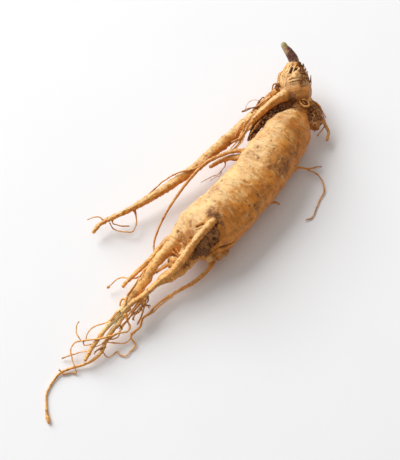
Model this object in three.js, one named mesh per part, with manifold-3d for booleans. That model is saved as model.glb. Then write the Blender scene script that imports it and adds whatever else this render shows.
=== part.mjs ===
// A fresh ginseng root, dug with its neck and its rootlets on.
// Millimetres. +Z is up, +Y runs up the root towards its neck, and the origin is on the
// small flat spot of the belly that the root rests on.
//
// Each root is grown from a route, a short list of [x, y, z, width] along its middle line.
// The solids of all the routes are joined, so what grew as one piece is one closed body.
// The dry stub of the stem stands in a hole in the neck, and a cake of dry soil lies in a
// shallow scar on the front of the body.
import * as THREE from 'three';
import { mergeVertices } from 'three/addons/utils/BufferGeometryUtils.js';
import Module from 'manifold-3d';

const wasm = await Module();
wasm.setup();

// Driving dimensions
const BODY_MIDDLE = 12.9; // height of the body's middle line over the surface it rests on
const BODY_WIDTH = 27; // width of the body half way along
const SHOULDER_ROUNDING = 14.6; // length over which the body's top end closes
const LOWER_ROUNDING = 15.5; // length over which its lower end closes
const FINEST = 0.9; // width of the finest rootlet
const GAP = 0.3; // clear space round the stem stub and round the soil cake
const SCAR = { length: 18.5, width: 10.4, depth: 2.4, bulge: 0.7 }; // the soil-filled scar
const SCAR_CUT = 4; // how far the form that cuts the scar stands out of the body
const SCAR_WAVE = 0.09; // how uneven the scar's rim is, as a share of its radius
const FLOOR_CUT = 400; // side of the block that cuts the flat spot
const MERGE_WITHIN = 1e-4; // corners closer than this are one

// Relief of the skin, as waves: height in mm, turns round the root, rate in radians a mm along it,
// phase, a sway that makes a ring uneven, and the length over which the wave fades from its start
const BODY_WAVES = [
  { height: 0.35, turns: 3, rate: 0.09 },
  { height: 0.3, turns: 2, rate: -0.06, phase: 1 },
  { height: 0.28, rate: 0.9, sway: 0.8, fade: 60 },
];
const NECK_WAVES = [
  { height: 0.5, rate: 1.5, sway: 1 },
  { height: 0.45, turns: 5, rate: 0.3 },
];
const LEG_WAVES = [
  { height: 0.18, rate: 1.1, sway: 1 },
  { height: 0.16, turns: 2, rate: 0.2 },
];
const LUMP_WAVES = [
  { height: 0.5, turns: 3, rate: 1 },
  { height: 0.4, rate: 1.7 },
];

// Colours
const ROOT_LOOK = { color: 0xc99a5b, roughness: 0.75, metalness: 0 };
const STUB_LOOK = { color: 0x5e3a34, roughness: 0.7, metalness: 0 };
const SOIL_LOOK = { color: 0x4f3827, roughness: 0.95, metalness: 0 };

// How finely each kind of root is faceted: its sides, the longest facet along it, and the
// shares of an end's rounding at which it has a row of corners
const BODY_FACETS = { sides: 34, step: 2.6, rounding: [0.03, 0.15, 0.45, 1] };
const LEG_FACETS = { sides: 12, step: 3.2, rounding: [0.15, 0.6] };
const ROOT_FACETS = { sides: 8, step: 5.5, rounding: [0.2, 1] };
const ROOTLET_FACETS = { sides: 5, step: 6, rounding: [0.6] };
const KNOB_FACETS = [10, 7];
const SCAR_FACETS = [22, 14];
const MOST_TURN = 0.42; // radians that a route turns from one row of facets to the next
const WALK = 0.5; // stride in which the turning is added up

// The body, from its shoulder to its lower end
const BODY = [
  [2.5, 52.6, BODY_MIDDLE, BODY_WIDTH - 3],
  [3.5, 44.5, BODY_MIDDLE, BODY_WIDTH - 3],
  [3.5, 38, BODY_MIDDLE, BODY_WIDTH - 2.8],
  [3.2, 24, BODY_MIDDLE, BODY_WIDTH - 0.4],
  [2.5, 8.5, BODY_MIDDLE, BODY_WIDTH - 0.6],
  [0.5, -1, BODY_MIDDLE, BODY_WIDTH],
  [-1.5, -10.5, BODY_MIDDLE, BODY_WIDTH + 0.8],
  [-4.2, -24, BODY_MIDDLE, BODY_WIDTH + 1],
  [-6.8, -41.6, BODY_MIDDLE, BODY_WIDTH + 1],
];

// The neck, from inside the shoulder to the ring round the stem stub
const NECK = [
  [3.5, 46, 12, 13],
  [2.6, 54, 12.5, 10.5],
  [0.4, 57, 13.4, 10.5],
  [-1.8, 59.6, 14.6, 16.5],
  [-4.2, 62, 15.6, 16.8],
  [-6.6, 65, 16.6, 15.8],
  [-8.5, 68, 17.6, 14.6],
  [-9.8, 70.4, 18.6, 11.8],
  [-10.8, 72.4, 19.4, 8.6],
  [-11.4, 74.2, 20, 6.6],
];

const STEM_STUB = [
  [-9, 71.4, 18.5, 4.6],
  [-10.8, 73.6, 19.9, 4.6],
  [-13, 75.5, 21.5, 4.1],
  [-16.3, 77, 23, 3.5],
  [-19.5, 78.1, 24.2, 3.1],
  [-21.4, 79.4, 25, 3.2],
];

// The thick lower branches: the left leg, and the body's own end, which tapers under the front root
const LEGS = [
  [
    [-6.5, -12, 13, 14],
    [-9.8, -21, 13, 16.6],
    [-12.2, -28.5, 13, 17],
    [-14, -35, 13, 14],
    [-15.4, -41.5, 13, 10],
    [-16.8, -48, 13, 7.4],
    [-18.5, -55, 12.5, 6],
    [-18.5, -64, 11.5, 5.5],
    [-19.5, -75.5, 10.5, 4.8],
    [-20.5, -81.5, 10, 4],
    [-21, -86, 9, 3],
  ],
  [
    [-5, -28, 13.6, 20],
    [-6.4, -37, 13.6, 17],
    [-7.2, -43.5, 13.4, 12],
    [-7.2, -50, 13.6, 8],
    [-8, -56.5, 14.2, 4.6],
    [-10, -61, 14.6, 3],
    [-12, -64.5, 14.2, 2],
  ],
];

// The side roots
const SIDE_ROOTS = {
  front: [
    [-2, -24.5, 26.4, 3.6],
    [-3, -28.5, 26.6, 4.2],
    [-4, -32.5, 25.6, 4.2],
    [-5, -36.5, 24, 4.2],
    [-6, -40.5, 22, 4.4],
    [-6.5, -44.5, 20.5, 4.5],
    [-7, -48.5, 19, 4.5],
    [-8.5, -55.5, 16.5, 4],
    [-11.5, -62.5, 15, 3.6],
    [-14.5, -71, 12.5, 3],
    [-18.5, -79.5, 10.5, 3],
    [-20, -84.5, 9.5, 3.2],
  ],
  longLeft: [
    [-5.5, 60.5, 16.6, 4],
    [-9, 55, 17, 3.6],
    [-11.8, 49, 16.6, 4],
    [-14.2, 43, 15.8, 4.8],
    [-16.6, 36.5, 14.8, 5.4],
    [-18.4, 30, 13.6, 6],
    [-20.2, 24, 13, 6],
    [-24, 13.5, 12, 5.6],
    [-28, 0, 11, 5],
    [-33, -11.5, 10.5, 5],
    [-40, -25, 9.5, 4.6],
    [-46, -34.5, 8.5, 3.4],
    [-52, -44.5, 7.5, 2.6],
    [-55.5, -52, 6.5, 2.2],
    [-56.5, -55, 6, 1.8],
  ],
  overShoulder: [
    [-3, 60, 18, 5],
    [-7, 56.5, 19.5, 4.2],
    [-10, 50.5, 20.6, 4],
    [-13, 42, 20.4, 3.6],
    [-14.8, 35.5, 18.8, 3],
    [-15.6, 30, 17.4, 2.2],
    [-16, 26, 16.4, 1.4],
  ],
  crossing: [
    [-7, 20.5, 15, 2.2],
    [-14, 17, 15.5, 2.1],
    [-19.5, 10.5, 15.6, 1.9],
    [-24, 3, 15.2, 1.7],
    [-27, -9, 13, 1.5],
    [-28, -17, 11.5, 1.4],
    [-28.5, -29, 9.5, 1.2],
    [-27.5, -38.5, 8, 1.1],
    [-26, -44.5, 6.5, 1],
    [-23, -49, 5.5, 0.9],
  ],
  blunt: [
    [-7, 17.5, 13.5, 2.8],
    [-14, 14, 13, 2.6],
    [-16.5, 12, 12.5, 2.4],
    [-19, 9, 12, 2.1],
    [-22, 4, 11, 1.9],
  ],
  besideLeftLeg: [
    [-16.5, -35, 13.5, 3],
    [-20.5, -44.5, 13, 2.6],
    [-21.5, -52, 12.5, 2.6],
    [-24.5, -62.5, 11.5, 2.6],
    [-26.5, -71, 10, 2.5],
  ],
  lowerLeft: [
    [-18.5, -79.5, 10, 3.2],
    [-20.5, -85.5, 9, 3.6],
    [-22, -90, 8.5, 3.1],
    [-23.5, -94.5, 8, 2.8],
    [-24, -102, 7, 2.3],
    [-24, -109, 6, 2],
    [-24, -113.5, 5.5, 1.8],
  ],
  tail: [
    [-19, -82.5, 8.5, 3.2],
    [-20, -90.5, 7.5, 3.5],
    [-20.5, -100, 6, 2.9],
    [-20, -105, 4.6, 2.2],
    [-23.5, -113, 3, 1.5],
    [-28, -118, 2, 1.3],
    [-32, -123, 1.2, 1.3],
    [-33, -129, 0.8, 1.1],
    [-32.5, -135, 0.8, 1],
    [-30, -139.5, 0.8, 1],
    [-27, -143.5, 0.9, 1.3],
    [-25, -145.5, 1.1, 1.9],
    [-23.5, -147.2, 1, 1.4],
  ],
  right: [
    [1, -28, 8.5, 8],
    [3.6, -34, 7.8, 7],
    [5, -37.4, 7, 4.6],
    [5.1, -40.6, 6.6, 3.4],
    [4.4, -44.5, 6, 2.8],
    [1.5, -51, 5, 2.4],
    [-3, -58, 4.2, 2],
    [-7.5, -66.5, 3.6, 1.8],
    [-9.5, -73, 3, 1.6],
    [-11.5, -80, 2.5, 1.3],
    [-10.5, -84, 2.2, 1.2],
    [-12.5, -89.5, 1.8, 1.1],
  ],
  curledLump: [
    [2.5, 58.5, 14.8, 5],
    [8.4, 58.6, 13, 6],
    [11.5, 56.6, 11.6, 6.6],
    [12.8, 53, 10.6, 6.6],
    [12.6, 49.4, 10, 5],
  ],
  byTheLump: [
    [11, 57.5, 12, 1.8],
    [13.5, 58, 10.5, 1.7],
    [18, 56, 8, 1.6],
    [20.5, 54.5, 6.5, 1.6],
    [22, 50, 5, 1.5],
  ],
};

// Knobs where rootlets broke off: [x, y, z, width]
const KNOBS = [
  [3.5, -37.2, 10.6, 4],
  [-12.6, -48.5, 13.5, 3.6],
  [-10.2, -51, 13, 4],
  [-13.8, -73, 11.8, 2.6],
  [-22.6, 15.6, 14, 2.6],
  [-18.2, 33, 15.6, 2.8],
  [5, 60.4, 17.2, 3.6],
  [10.2, 54, 11, 6.4],
  [-34.4, -74.8, 4, 1.7],
];

// Loose bark and dry scales standing up round the neck
const SCALES = [
  [[-10.5, 69, 20.5, 3.4], [-10, 71.5, 22.4, 2.6], [-10.5, 73.5, 23.2, 1.2]],
  [[-7.5, 67, 21.5, 3.2], [-7.2, 70, 22.6, 3], [-8, 72.2, 22.8, 1.4]],
  [[-5, 66.5, 19.5, 3], [-4.6, 69.5, 20.4, 2.4], [-5.6, 72.4, 20.6, 1.1]],
  [[-4.5, 69, 17.5, 2.6], [-4.8, 72.5, 19, 1.8], [-7.2, 75.6, 20.6, 0.9]],
  [[-2, 68, 16, 2], [-2, 71.5, 17, 1.4], [-2.8, 73.6, 17.4, 0.9]],
  [[2.4, 66, 15, 1.8], [1.4, 69.5, 15.6, 1.2], [-0.6, 73, 17, 0.9]],
  [[-10, 62, 16.8, 2.4], [-13, 60, 17.6, 3], [-13.4, 57, 17.8, 2.6], [-13.2, 53.5, 18.2, 1.6]],
];

// Dark dry fibres in the valley between the shoulder and the root that crosses it
const VALLEY_FIBRES = [
  [
    [-1, 58, 15, 3], [-4.5, 54.5, 15.6, 3], [-7, 47.5, 17.2, 3], [-8.6, 41, 18.2, 2.8],
    [-9.6, 35, 18.2, 2.4], [-10.2, 29.5, 17.6, 1.8], [-11.4, 24, 16.6, 1.2],
  ],
  [
    [-2, 57, 15.4, 2.6], [-5.5, 51.5, 17.6, 2.8], [-7.4, 44.5, 19.2, 2.8],
    [-8.9, 38.5, 19.6, 2.4], [-10, 33, 19.2, 1.8], [-11, 27, 17.8, 1.2],
  ],
  [
    [-3.4, 57, 15.6, 2.6], [-6.6, 50, 16.6, 2.8], [-9.4, 45, 17, 2.4],
    [-11.4, 40, 17, 2], [-12.4, 34.5, 16.6, 1.5], [-13, 28.5, 16, 1.1],
  ],
];

// The rootlets
const ROOTLETS = [
  // at the neck's right
  [[4.5, 60, 14, 1.2], [8, 61, 14, 1], [11.5, 61, 12, 1], [15.5, 58.5, 10, 0.9], [16.5, 58, 9, 0.9]],
  [[17.5, 56, 8, 0.9], [16.5, 50, 5, 0.9]],
  // at the body's right
  [
    [12, 20, 10.5, 1.8], [15.5, 25, 8.5, 1.6], [17, 29, 6.5, 1.4], [21.5, 32, 4, 1.2], [24.5, 35.5, 3, 1],
    [26.5, 37, 2.5, 0.9],
  ],
  [
    [21, 31, 4, 1.1], [24.5, 32, 3, 1], [29, 31, 2, 1], [33, 27, 1.2, 1], [34, 20.5, 0.9, 1],
    [34.5, 17, 0.8, 0.9], [35, 10, 0.8, 0.9], [33, 7, 0.8, 0.9],
  ],
  [[11.5, 3, 9, 1.6], [14.5, 4, 8.5, 1.4], [16.5, 5.5, 8, 1.3], [18.5, 5.5, 7, 1.1]],
  // along the long left root
  [[-54, -47, 7, 1], [-56.5, -46, 7.5, 0.9], [-59, -47, 7, 0.9], [-62, -50, 6, 0.9]],
  [[-51, -43, 7, 1], [-50, -45, 5.6, 0.9], [-46, -44, 5, 0.9], [-42, -41.5, 4, 0.9]],
  [
    [-45, -33, 8, 1.4], [-42, -35.5, 6.5, 1.1], [-39.6, -39, 5.2, 1], [-39.3, -43.4, 4.2, 1],
    [-42, -45, 4, 0.9], [-48, -47, 4, 0.9], [-52, -45, 4.6, 0.9],
  ],
  [[-23, 5, 15, 1.2], [-27, -1, 14.5, 1.2], [-34, -8, 13.5, 1.1], [-38, -14.5, 12, 1.1], [-42, -25, 9, 1]],
  [[-16.5, 11.5, 12, 1], [-15.5, 9, 10.5, 0.9], [-17, 4, 7.5, 0.9], [-19.5, 2, 6, 0.9], [-23, -2.5, 4, 0.9]],
  // what the root over the shoulder splits into
  [[-15, 35.5, 19, 2], [-15.5, 27, 17, 1.2], [-16.5, 21.5, 16, 1], [-18.5, 20, 15.4, 0.9]],
  [[-14.6, 36, 19, 2], [-14.5, 27, 16.5, 1.2], [-15, 20, 15, 1], [-16, 16.6, 15.3, 0.9]],
  [[-12.5, 51, 20, 1.2], [-15, 46, 19, 1.1], [-16.5, 43, 18, 1], [-20, 40.5, 17, 0.9], [-22, 37.5, 16, 1.2]],
  [[-16.5, 43, 18, 1.1], [-18, 36, 16.5, 1], [-18, 30.5, 15.8, 1], [-17, 27, 16, 0.9]],
  // beside and between the legs
  [[-9.5, -52, 12.5, 2], [-12.5, -56.5, 11, 1.4], [-14.5, -61.5, 10, 1.4], [-15.5, -67, 9, 1.2]],
  [[-11.5, -47.5, 13, 2], [-14.5, -55, 12, 1.5], [-17.5, -62.5, 11, 1.1]],
  [[-20.5, -62, 11, 1.4], [-24.5, -66, 9, 1], [-31.5, -68.5, 6, 0.9], [-34.5, -75, 4, 0.9]],
  [[-21, -59, 12.5, 1], [-21.5, -63, 14.4, 1], [-22, -74, 12.8, 1], [-22, -80, 11, 1]],
  [[-20.5, -77, 11, 1.2], [-24, -78.5, 11, 0.9], [-23.8, -81.4, 10.4, 0.9], [-21, -82.5, 10, 1]],
  [
    [-20.5, -80, 10, 1.2], [-23, -85.5, 9, 0.9], [-24.2, -91, 8, 0.9], [-29.5, -96.5, 5.5, 0.9],
    [-30.5, -101, 4.5, 0.9], [-29, -104, 4, 0.9],
  ],
  // from the tangle below the front root
  [[-14, -71.5, 12, 1.4], [-13.5, -75.5, 10.5, 1], [-11.5, -74.5, 10, 0.9], [-10, -75.5, 9.4, 1]],
  [[-13.6, -73, 11, 1.3], [-12, -78, 9, 1], [-11.5, -82, 6, 0.9], [-12, -84.5, 4.4, 0.9]],
  [[-13.4, -75, 10.4, 1.1], [-13.5, -79.5, 8, 0.9], [-15, -81, 7, 0.9], [-14.5, -84, 6, 0.9]],
  [
    [-14, -73, 11.4, 1.3], [-15.5, -80, 10, 1.1], [-16, -85.5, 9, 1], [-17.5, -93.5, 6.5, 1],
    [-19.4, -98, 6.2, 1],
  ],
  [[-15, -73, 12, 1.2], [-16.5, -79.5, 10, 1], [-17, -85, 9.4, 1]],
  // from the lower left root and the tail
  [
    [-19, -83.5, 9.6, 1.6], [-16.5, -86, 9, 1.2], [-13.5, -88, 8, 1.1], [-13.4, -90.5, 7.2, 1],
    [-16.5, -93, 7, 1], [-19.5, -97, 8.2, 1], [-24, -101.5, 8.6, 1], [-29, -104.5, 7, 1],
    [-33, -107.5, 5.5, 1], [-33.5, -111, 4.5, 0.9], [-31, -114.5, 3.5, 0.9], [-27, -118, 3, 0.9],
    [-25.4, -119.6, 1.2, 0.9], [-27.5, -120.5, 0.8, 1], [-30.5, -123, 0.9, 1],
  ],
  [[-31, -105.5, 6.2, 0.9], [-34.5, -103.5, 6.5, 0.9], [-37, -99.5, 6, 0.9], [-37, -97.5, 5.5, 0.9]],
  [[-30, -105, 6.6, 0.9], [-28.5, -106.5, 5.5, 0.9], [-25.5, -104.5, 6.6, 0.9]],
  [[-24.4, -108, 6.2, 1], [-29, -110.5, 4, 0.9], [-32, -113.5, 3, 0.9], [-35.5, -117, 1.5, 1]],
  [[-20.5, -99, 6.4, 1], [-21.5, -102.5, 6.5, 0.9], [-23.6, -105, 6.8, 0.9]],
  [[-20.2, -102.5, 5.5, 0.9], [-22, -105.5, 4.5, 0.9], [-22.5, -107.5, 3.5, 0.9]],
  [[-20.4, -98.5, 6.4, 1], [-18, -96.5, 5, 0.9], [-16.5, -94.5, 5, 0.9], [-16.8, -91.5, 7.2, 0.9]],
  [[-33.5, -122.4, 2.4, 0.9], [-32, -122.6, 1.6, 1], [-30, -123.4, 0.9, 1]],
  // from the right root
  [[-7, -65.5, 3.8, 1], [-8, -71.5, 4, 0.9], [-10.6, -76, 3, 0.9]],
  [[-12, -88.5, 1.8, 1], [-12, -94, 2, 0.9], [-18, -98, 2.5, 0.9], [-20.6, -99.5, 5, 0.9]],
  [
    [-12.5, -88.5, 1.8, 1.1], [-11.5, -91, 1.8, 1], [-8, -92.5, 1.4, 1], [-7.6, -94.4, 1, 1],
    [-8.5, -97, 0.8, 0.9], [-9, -100, 0.8, 0.9], [-12, -101, 0.8, 0.9], [-14, -100, 0.8, 0.9],
    [-15.5, -104.5, 1, 0.9], [-17.4, -105.2, 1.6, 0.9], [-20, -104, 4, 0.9],
  ],
  [[-10.6, -84.5, 2.2, 1], [-11.5, -88.5, 1.4, 0.9]],
];

// A closed mesh as a solid: only its places are kept, shared corners are merged, and the
// flat triangles that a lathe leaves at its poles are dropped
function asSolid(geometry) {
  const bare = geometry.clone();
  bare.deleteAttribute('normal');
  bare.deleteAttribute('uv');
  const merged = mergeVertices(bare, MERGE_WITHIN);
  const corners = merged.index.array;
  const kept = [];
  for (let i = 0; i < corners.length; i += 3) {
    const [a, b, c] = corners.slice(i, i + 3);
    if (a !== b && b !== c && c !== a) {
      kept.push(a, b, c);
    }
  }
  const mesh = new wasm.Mesh({
    numProp: 3,
    vertProperties: new Float32Array(merged.attributes.position.array),
    triVerts: new Uint32Array(kept),
  });
  return new wasm.Manifold(mesh);
}

function asGeometry(solid) {
  const mesh = solid.getMesh();
  const geometry = new THREE.BufferGeometry();
  geometry.setAttribute('position', new THREE.BufferAttribute(new Float32Array(mesh.vertProperties), 3));
  geometry.setIndex(new THREE.BufferAttribute(new Uint32Array(mesh.triVerts), 1));
  geometry.computeVertexNormals();
  return geometry;
}

// The width at a share of a route, eased from point to point
function widthAt(route, share) {
  const place = share * (route.length - 1);
  const from = Math.min(Math.floor(place), route.length - 2);
  const eased = THREE.MathUtils.smoothstep(place - from, 0, 1);
  return THREE.MathUtils.lerp(route[from][3], route[from + 1][3], eased);
}

// Distances along a route for its rows of facets: close in its bends, far apart where it is straight
function rowPlaces(curve, length, start, end, facets) {
  const places = [];
  let way = curve.getTangentAt(start / length);
  let turned = 0;
  let since = 0;
  for (let along = start + WALK; along < end - 2 * WALK; along += WALK) {
    const next = curve.getTangentAt(along / length);
    turned += way.angleTo(next);
    way = next;
    since += WALK;
    if (since >= facets.step || turned >= MOST_TURN) {
      places.push(along);
      turned = 0;
      since = 0;
    }
  }
  return places;
}

// A root: a turned solid of the route's length, with rounded ends, bent along the route.
// extra widens it all round, and relief adds to its radius by the angle and the distance along it.
function grow(route, facets, { extra = 0, domes = null, relief = () => 0 } = {}) {
  const points = route.map(([x, y, z]) => new THREE.Vector3(x, y, z));
  const curve = new THREE.CatmullRomCurve3(points, false, 'centripetal');
  const length = curve.getLength();
  const half = (along) => {
    const share = curve.getUtoTmapping(along / length);
    return (Math.max(widthAt(route, share), FINEST) + extra) / 2;
  };
  const [first, last] = domes ?? [half(0), half(length)];

  // The profile, as [radius, distance along], closed on the axis at both ends
  const alongs = [
    ...facets.rounding.map((part) => first * part),
    ...rowPlaces(curve, length, first, length - last, facets),
    ...facets.rounding.toReversed().map((part) => length - last * part),
  ];
  const domed = (along) => {
    const near = Math.min(1, along / first, (length - along) / last);
    return half(along) * Math.sqrt(1 - (1 - near) ** 2);
  };
  const profile = [
    new THREE.Vector2(0, 0),
    ...alongs.map((along) => new THREE.Vector2(domed(along), along)),
    new THREE.Vector2(0, length),
  ];
  const geometry = new THREE.LatheGeometry(profile, facets.sides);

  // Frames along the route, each turned from the one before it by no more than the bend
  const frames = [];
  const samples = 2 * profile.length;
  let side = null;
  for (let i = 0; i <= samples; i += 1) {
    const at = curve.getPointAt(i / samples);
    const way = curve.getTangentAt(i / samples);
    side ??= new THREE.Vector3(0, 0, 1);
    side = side.clone().addScaledVector(way, -side.dot(way)).normalize();
    frames.push({ at, side, across: new THREE.Vector3().crossVectors(way, side) });
  }
  const place = geometry.attributes.position;
  for (let i = 0; i < place.count; i += 1) {
    const [x, along, z] = [place.getX(i), place.getY(i), place.getZ(i)];
    const radius = Math.hypot(x, z);
    const angle = Math.atan2(x, z);
    const out = radius + (radius > 0 ? relief(angle, along) * Math.min(1, radius) : 0);
    const [inSide, inAcross] = radius > 0 ? [z / radius, x / radius] : [0, 0];
    const spot = (along / length) * samples;
    const from = Math.min(Math.floor(spot), samples - 1);
    const [frame, next] = [frames[from], frames[from + 1]];
    const part = spot - from;
    const point = frame.at.clone().lerp(next.at, part);
    point.addScaledVector(frame.side.clone().lerp(next.side, part).normalize(), out * inSide);
    point.addScaledVector(frame.across.clone().lerp(next.across, part).normalize(), out * inAcross);
    place.setXYZ(i, point.x, point.y, point.z);
  }
  return asSolid(geometry);
}

// The relief that a list of waves adds up to, by the angle round a root and the distance along it
function reliefOf(waves) {
  return (angle, along) => waves.reduce((sum, wave) => {
    const { height, turns = 0, rate, phase = 0, sway = 0, fade = Infinity } = wave;
    const turned = turns * angle + rate * along + phase + sway * Math.sin(angle);
    return sum + height * Math.sin(turned) * Math.exp(-along / fade);
  }, 0);
}

function knob([x, y, z, width]) {
  const ball = new THREE.SphereGeometry(width / 2, ...KNOB_FACETS);
  ball.translate(x, y, z);
  return asSolid(ball);
}

// Where the scar is: on the front of the body, facing up and a little to the lower right
function scarPlace() {
  const outward = new THREE.Vector3(0.32, -0.36, 0.88).normalize();
  const alongBody = new THREE.Vector3(0.14, 0.93, 0.34);
  alongBody.addScaledVector(outward, -alongBody.dot(outward)).normalize();
  const across = new THREE.Vector3().crossVectors(alongBody, outward);
  return new THREE.Matrix4().makeBasis(across, alongBody, outward).setPosition(0.4, -34.2, 23.3);
}

// The scar's form: an uneven lens laid on the front of the body. shrink takes it in all round,
// and rise is how far it stands over its rim.
function scarForm(shrink, rise) {
  const lens = new THREE.SphereGeometry(1, ...SCAR_FACETS);
  const place = lens.attributes.position;
  for (let i = 0; i < place.count; i += 1) {
    const [x, y, z] = [place.getX(i), place.getY(i), place.getZ(i)];
    const rim = 1 + SCAR_WAVE * Math.sin(3 * Math.atan2(y, x) + 1) * Math.hypot(x, y);
    const height = z > 0 ? z * rise : z * (SCAR.depth - shrink);
    place.setXYZ(i, x * rim * (SCAR.width / 2 - shrink), y * rim * (SCAR.length / 2 - shrink), height);
  }
  lens.applyMatrix4(scarPlace());
  return asSolid(lens);
}

function joined(solids) {
  return solids.reduce((whole, solid) => whole.add(solid));
}

// The largest body of a solid, without the scraps that a cut can leave
function largestBody(solid) {
  return solid.decompose().sort((a, b) => b.volume() - a.volume())[0];
}

// Body, neck and legs, with the scar cut in them
function trunk() {
  const domes = [SHOULDER_ROUNDING, LOWER_ROUNDING];
  const whole = joined([
    grow(BODY, BODY_FACETS, { domes, relief: reliefOf(BODY_WAVES) }),
    grow(NECK, LEG_FACETS, { relief: reliefOf(NECK_WAVES) }),
    ...LEGS.map((route) => grow(route, LEG_FACETS, { relief: reliefOf(LEG_WAVES) })),
  ]);
  return whole.subtract(scarForm(0, SCAR_CUT));
}

function floorBlock() {
  const block = new THREE.BoxGeometry(FLOOR_CUT, FLOOR_CUT, FLOOR_CUT);
  block.translate(0, 0, -FLOOR_CUT / 2);
  return asSolid(block);
}

// What grew as one piece: trunk, side roots, loose bark and rootlets, with the flat spot it
// rests on and the hole that the stem stub stands in
function grownRoot() {
  const { curledLump, ...smoothRoots } = SIDE_ROOTS;
  const whole = joined([
    trunk(),
    grow(curledLump, ROOT_FACETS, { relief: reliefOf(LUMP_WAVES) }),
    ...Object.values(smoothRoots).map((route) => grow(route, ROOT_FACETS)),
    ...[...SCALES, ...VALLEY_FIBRES, ...ROOTLETS].map((route) => grow(route, ROOTLET_FACETS)),
    ...KNOBS.map(knob),
  ]);
  const stubHole = grow(STEM_STUB, ROOT_FACETS, { extra: 2 * GAP });
  return largestBody(whole.subtract(floorBlock()).subtract(stubHole));
}

// The soil cake fills the scar, clear of its wall and of the front root beside it
function soilCake() {
  const besideIt = grow(SIDE_ROOTS.front, ROOT_FACETS, { extra: 2 * GAP });
  return largestBody(scarForm(GAP, SCAR.bulge).subtract(besideIt));
}

function piece(name, solid, look) {
  const mesh = new THREE.Mesh(asGeometry(solid), new THREE.MeshStandardMaterial(look));
  mesh.name = name;
  return mesh;
}

const ginseng = new THREE.Group();
ginseng.add(piece('grown_root', grownRoot(), ROOT_LOOK));
ginseng.add(piece('stem_stub', grow(STEM_STUB, ROOT_FACETS), STUB_LOOK));
ginseng.add(piece('soil_cake', soilCake(), SOIL_LOOK));

export default ginseng;
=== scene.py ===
# A fresh ginseng root lying on a pale surface: its skin, rootlets, stem stub and soil.
# Routes and marks are in millimetres, in the part's own frame, and MM turns them into metres.
import math

import bpy
import numpy as np
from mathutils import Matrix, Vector


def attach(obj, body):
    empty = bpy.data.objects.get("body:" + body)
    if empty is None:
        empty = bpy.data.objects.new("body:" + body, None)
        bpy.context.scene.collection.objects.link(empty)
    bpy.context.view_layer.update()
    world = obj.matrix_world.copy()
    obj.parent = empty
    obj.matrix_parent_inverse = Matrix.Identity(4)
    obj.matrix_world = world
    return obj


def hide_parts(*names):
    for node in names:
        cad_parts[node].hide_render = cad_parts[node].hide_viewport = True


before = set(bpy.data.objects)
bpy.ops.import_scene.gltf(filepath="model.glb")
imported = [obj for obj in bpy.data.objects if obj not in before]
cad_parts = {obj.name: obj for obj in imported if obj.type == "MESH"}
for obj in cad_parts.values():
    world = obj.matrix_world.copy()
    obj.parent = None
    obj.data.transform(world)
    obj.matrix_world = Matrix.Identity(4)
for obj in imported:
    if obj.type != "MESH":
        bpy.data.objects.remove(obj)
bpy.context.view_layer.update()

MM = 0.001

# Driving dimensions, as in the part
BODY_MIDDLE = 12.9
BODY_WIDTH = 27
SHOULDER_ROUNDING = 14.6
LOWER_ROUNDING = 15.5

# The body, from its shoulder to its lower end
BODY = [
  [2.5, 52.6, BODY_MIDDLE, BODY_WIDTH - 3], [3.5, 44.5, BODY_MIDDLE, BODY_WIDTH - 3],
  [3.5, 38, BODY_MIDDLE, BODY_WIDTH - 2.8], [3.2, 24, BODY_MIDDLE, BODY_WIDTH - 0.4],
  [2.5, 8.5, BODY_MIDDLE, BODY_WIDTH - 0.6], [0.5, -1, BODY_MIDDLE, BODY_WIDTH],
  [-1.5, -10.5, BODY_MIDDLE, BODY_WIDTH + 0.8], [-4.2, -24, BODY_MIDDLE, BODY_WIDTH + 1],
  [-6.8, -41.6, BODY_MIDDLE, BODY_WIDTH + 1],
]

# The neck, from inside the shoulder to the ring round the stem stub
NECK = [
  [3.5, 46, 12, 13], [2.6, 54, 12.5, 10.5], [0.4, 57, 13.4, 10.5], [-1.8, 59.6, 14.6, 16.5],
  [-4.2, 62, 15.6, 16.8], [-6.6, 65, 16.6, 15.8], [-8.5, 68, 17.6, 14.6], [-9.5, 70.4, 18.6, 9.8],
  [-10.6, 72.4, 19.4, 7], [-11.5, 74.2, 20.3, 6], [-12.4, 75.2, 21, 5.6],
]

# The crown's lower left side
CROWN_SIDE = [
  [-8.8, 66.6, 17, 8], [-9.8, 61.8, 17, 8.6],
]

STEM_STUB = [
  [-9, 71.4, 18.5, 5.6], [-10.8, 73.6, 19.9, 5.6], [-13, 75.5, 21.5, 5.3], [-16.3, 77, 23, 4.5],
  [-19.5, 78.1, 24.2, 3.3], [-21.4, 79.4, 25, 2.9],
]

# The thick lower branches: the left leg, and the body's own end, which tapers under the front root
LEGS = [
  [
    [-6.5, -12, 13, 14], [-9.8, -21, 13, 16.6], [-12.2, -28.5, 13, 17], [-14, -35, 13, 12.6],
    [-15.6, -41.5, 13, 8], [-17.3, -48, 13, 6], [-18.8, -55, 12.5, 5.3], [-18.9, -64, 11.5, 5],
    [-20, -75.5, 10.5, 4.4], [-21, -81.6, 10, 3.3], [-21.4, -86.2, 9, 2.5],
  ],
  [
    [-4.6, -28, 13.4, 18], [-5.8, -37, 13.2, 12.6], [-6, -43.5, 13, 9], [-6, -50, 13.2, 6.2],
    [-7.2, -56.5, 14, 4], [-10, -61, 14.4, 2.6], [-12, -64.5, 14, 1.8],
  ],
]

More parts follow.
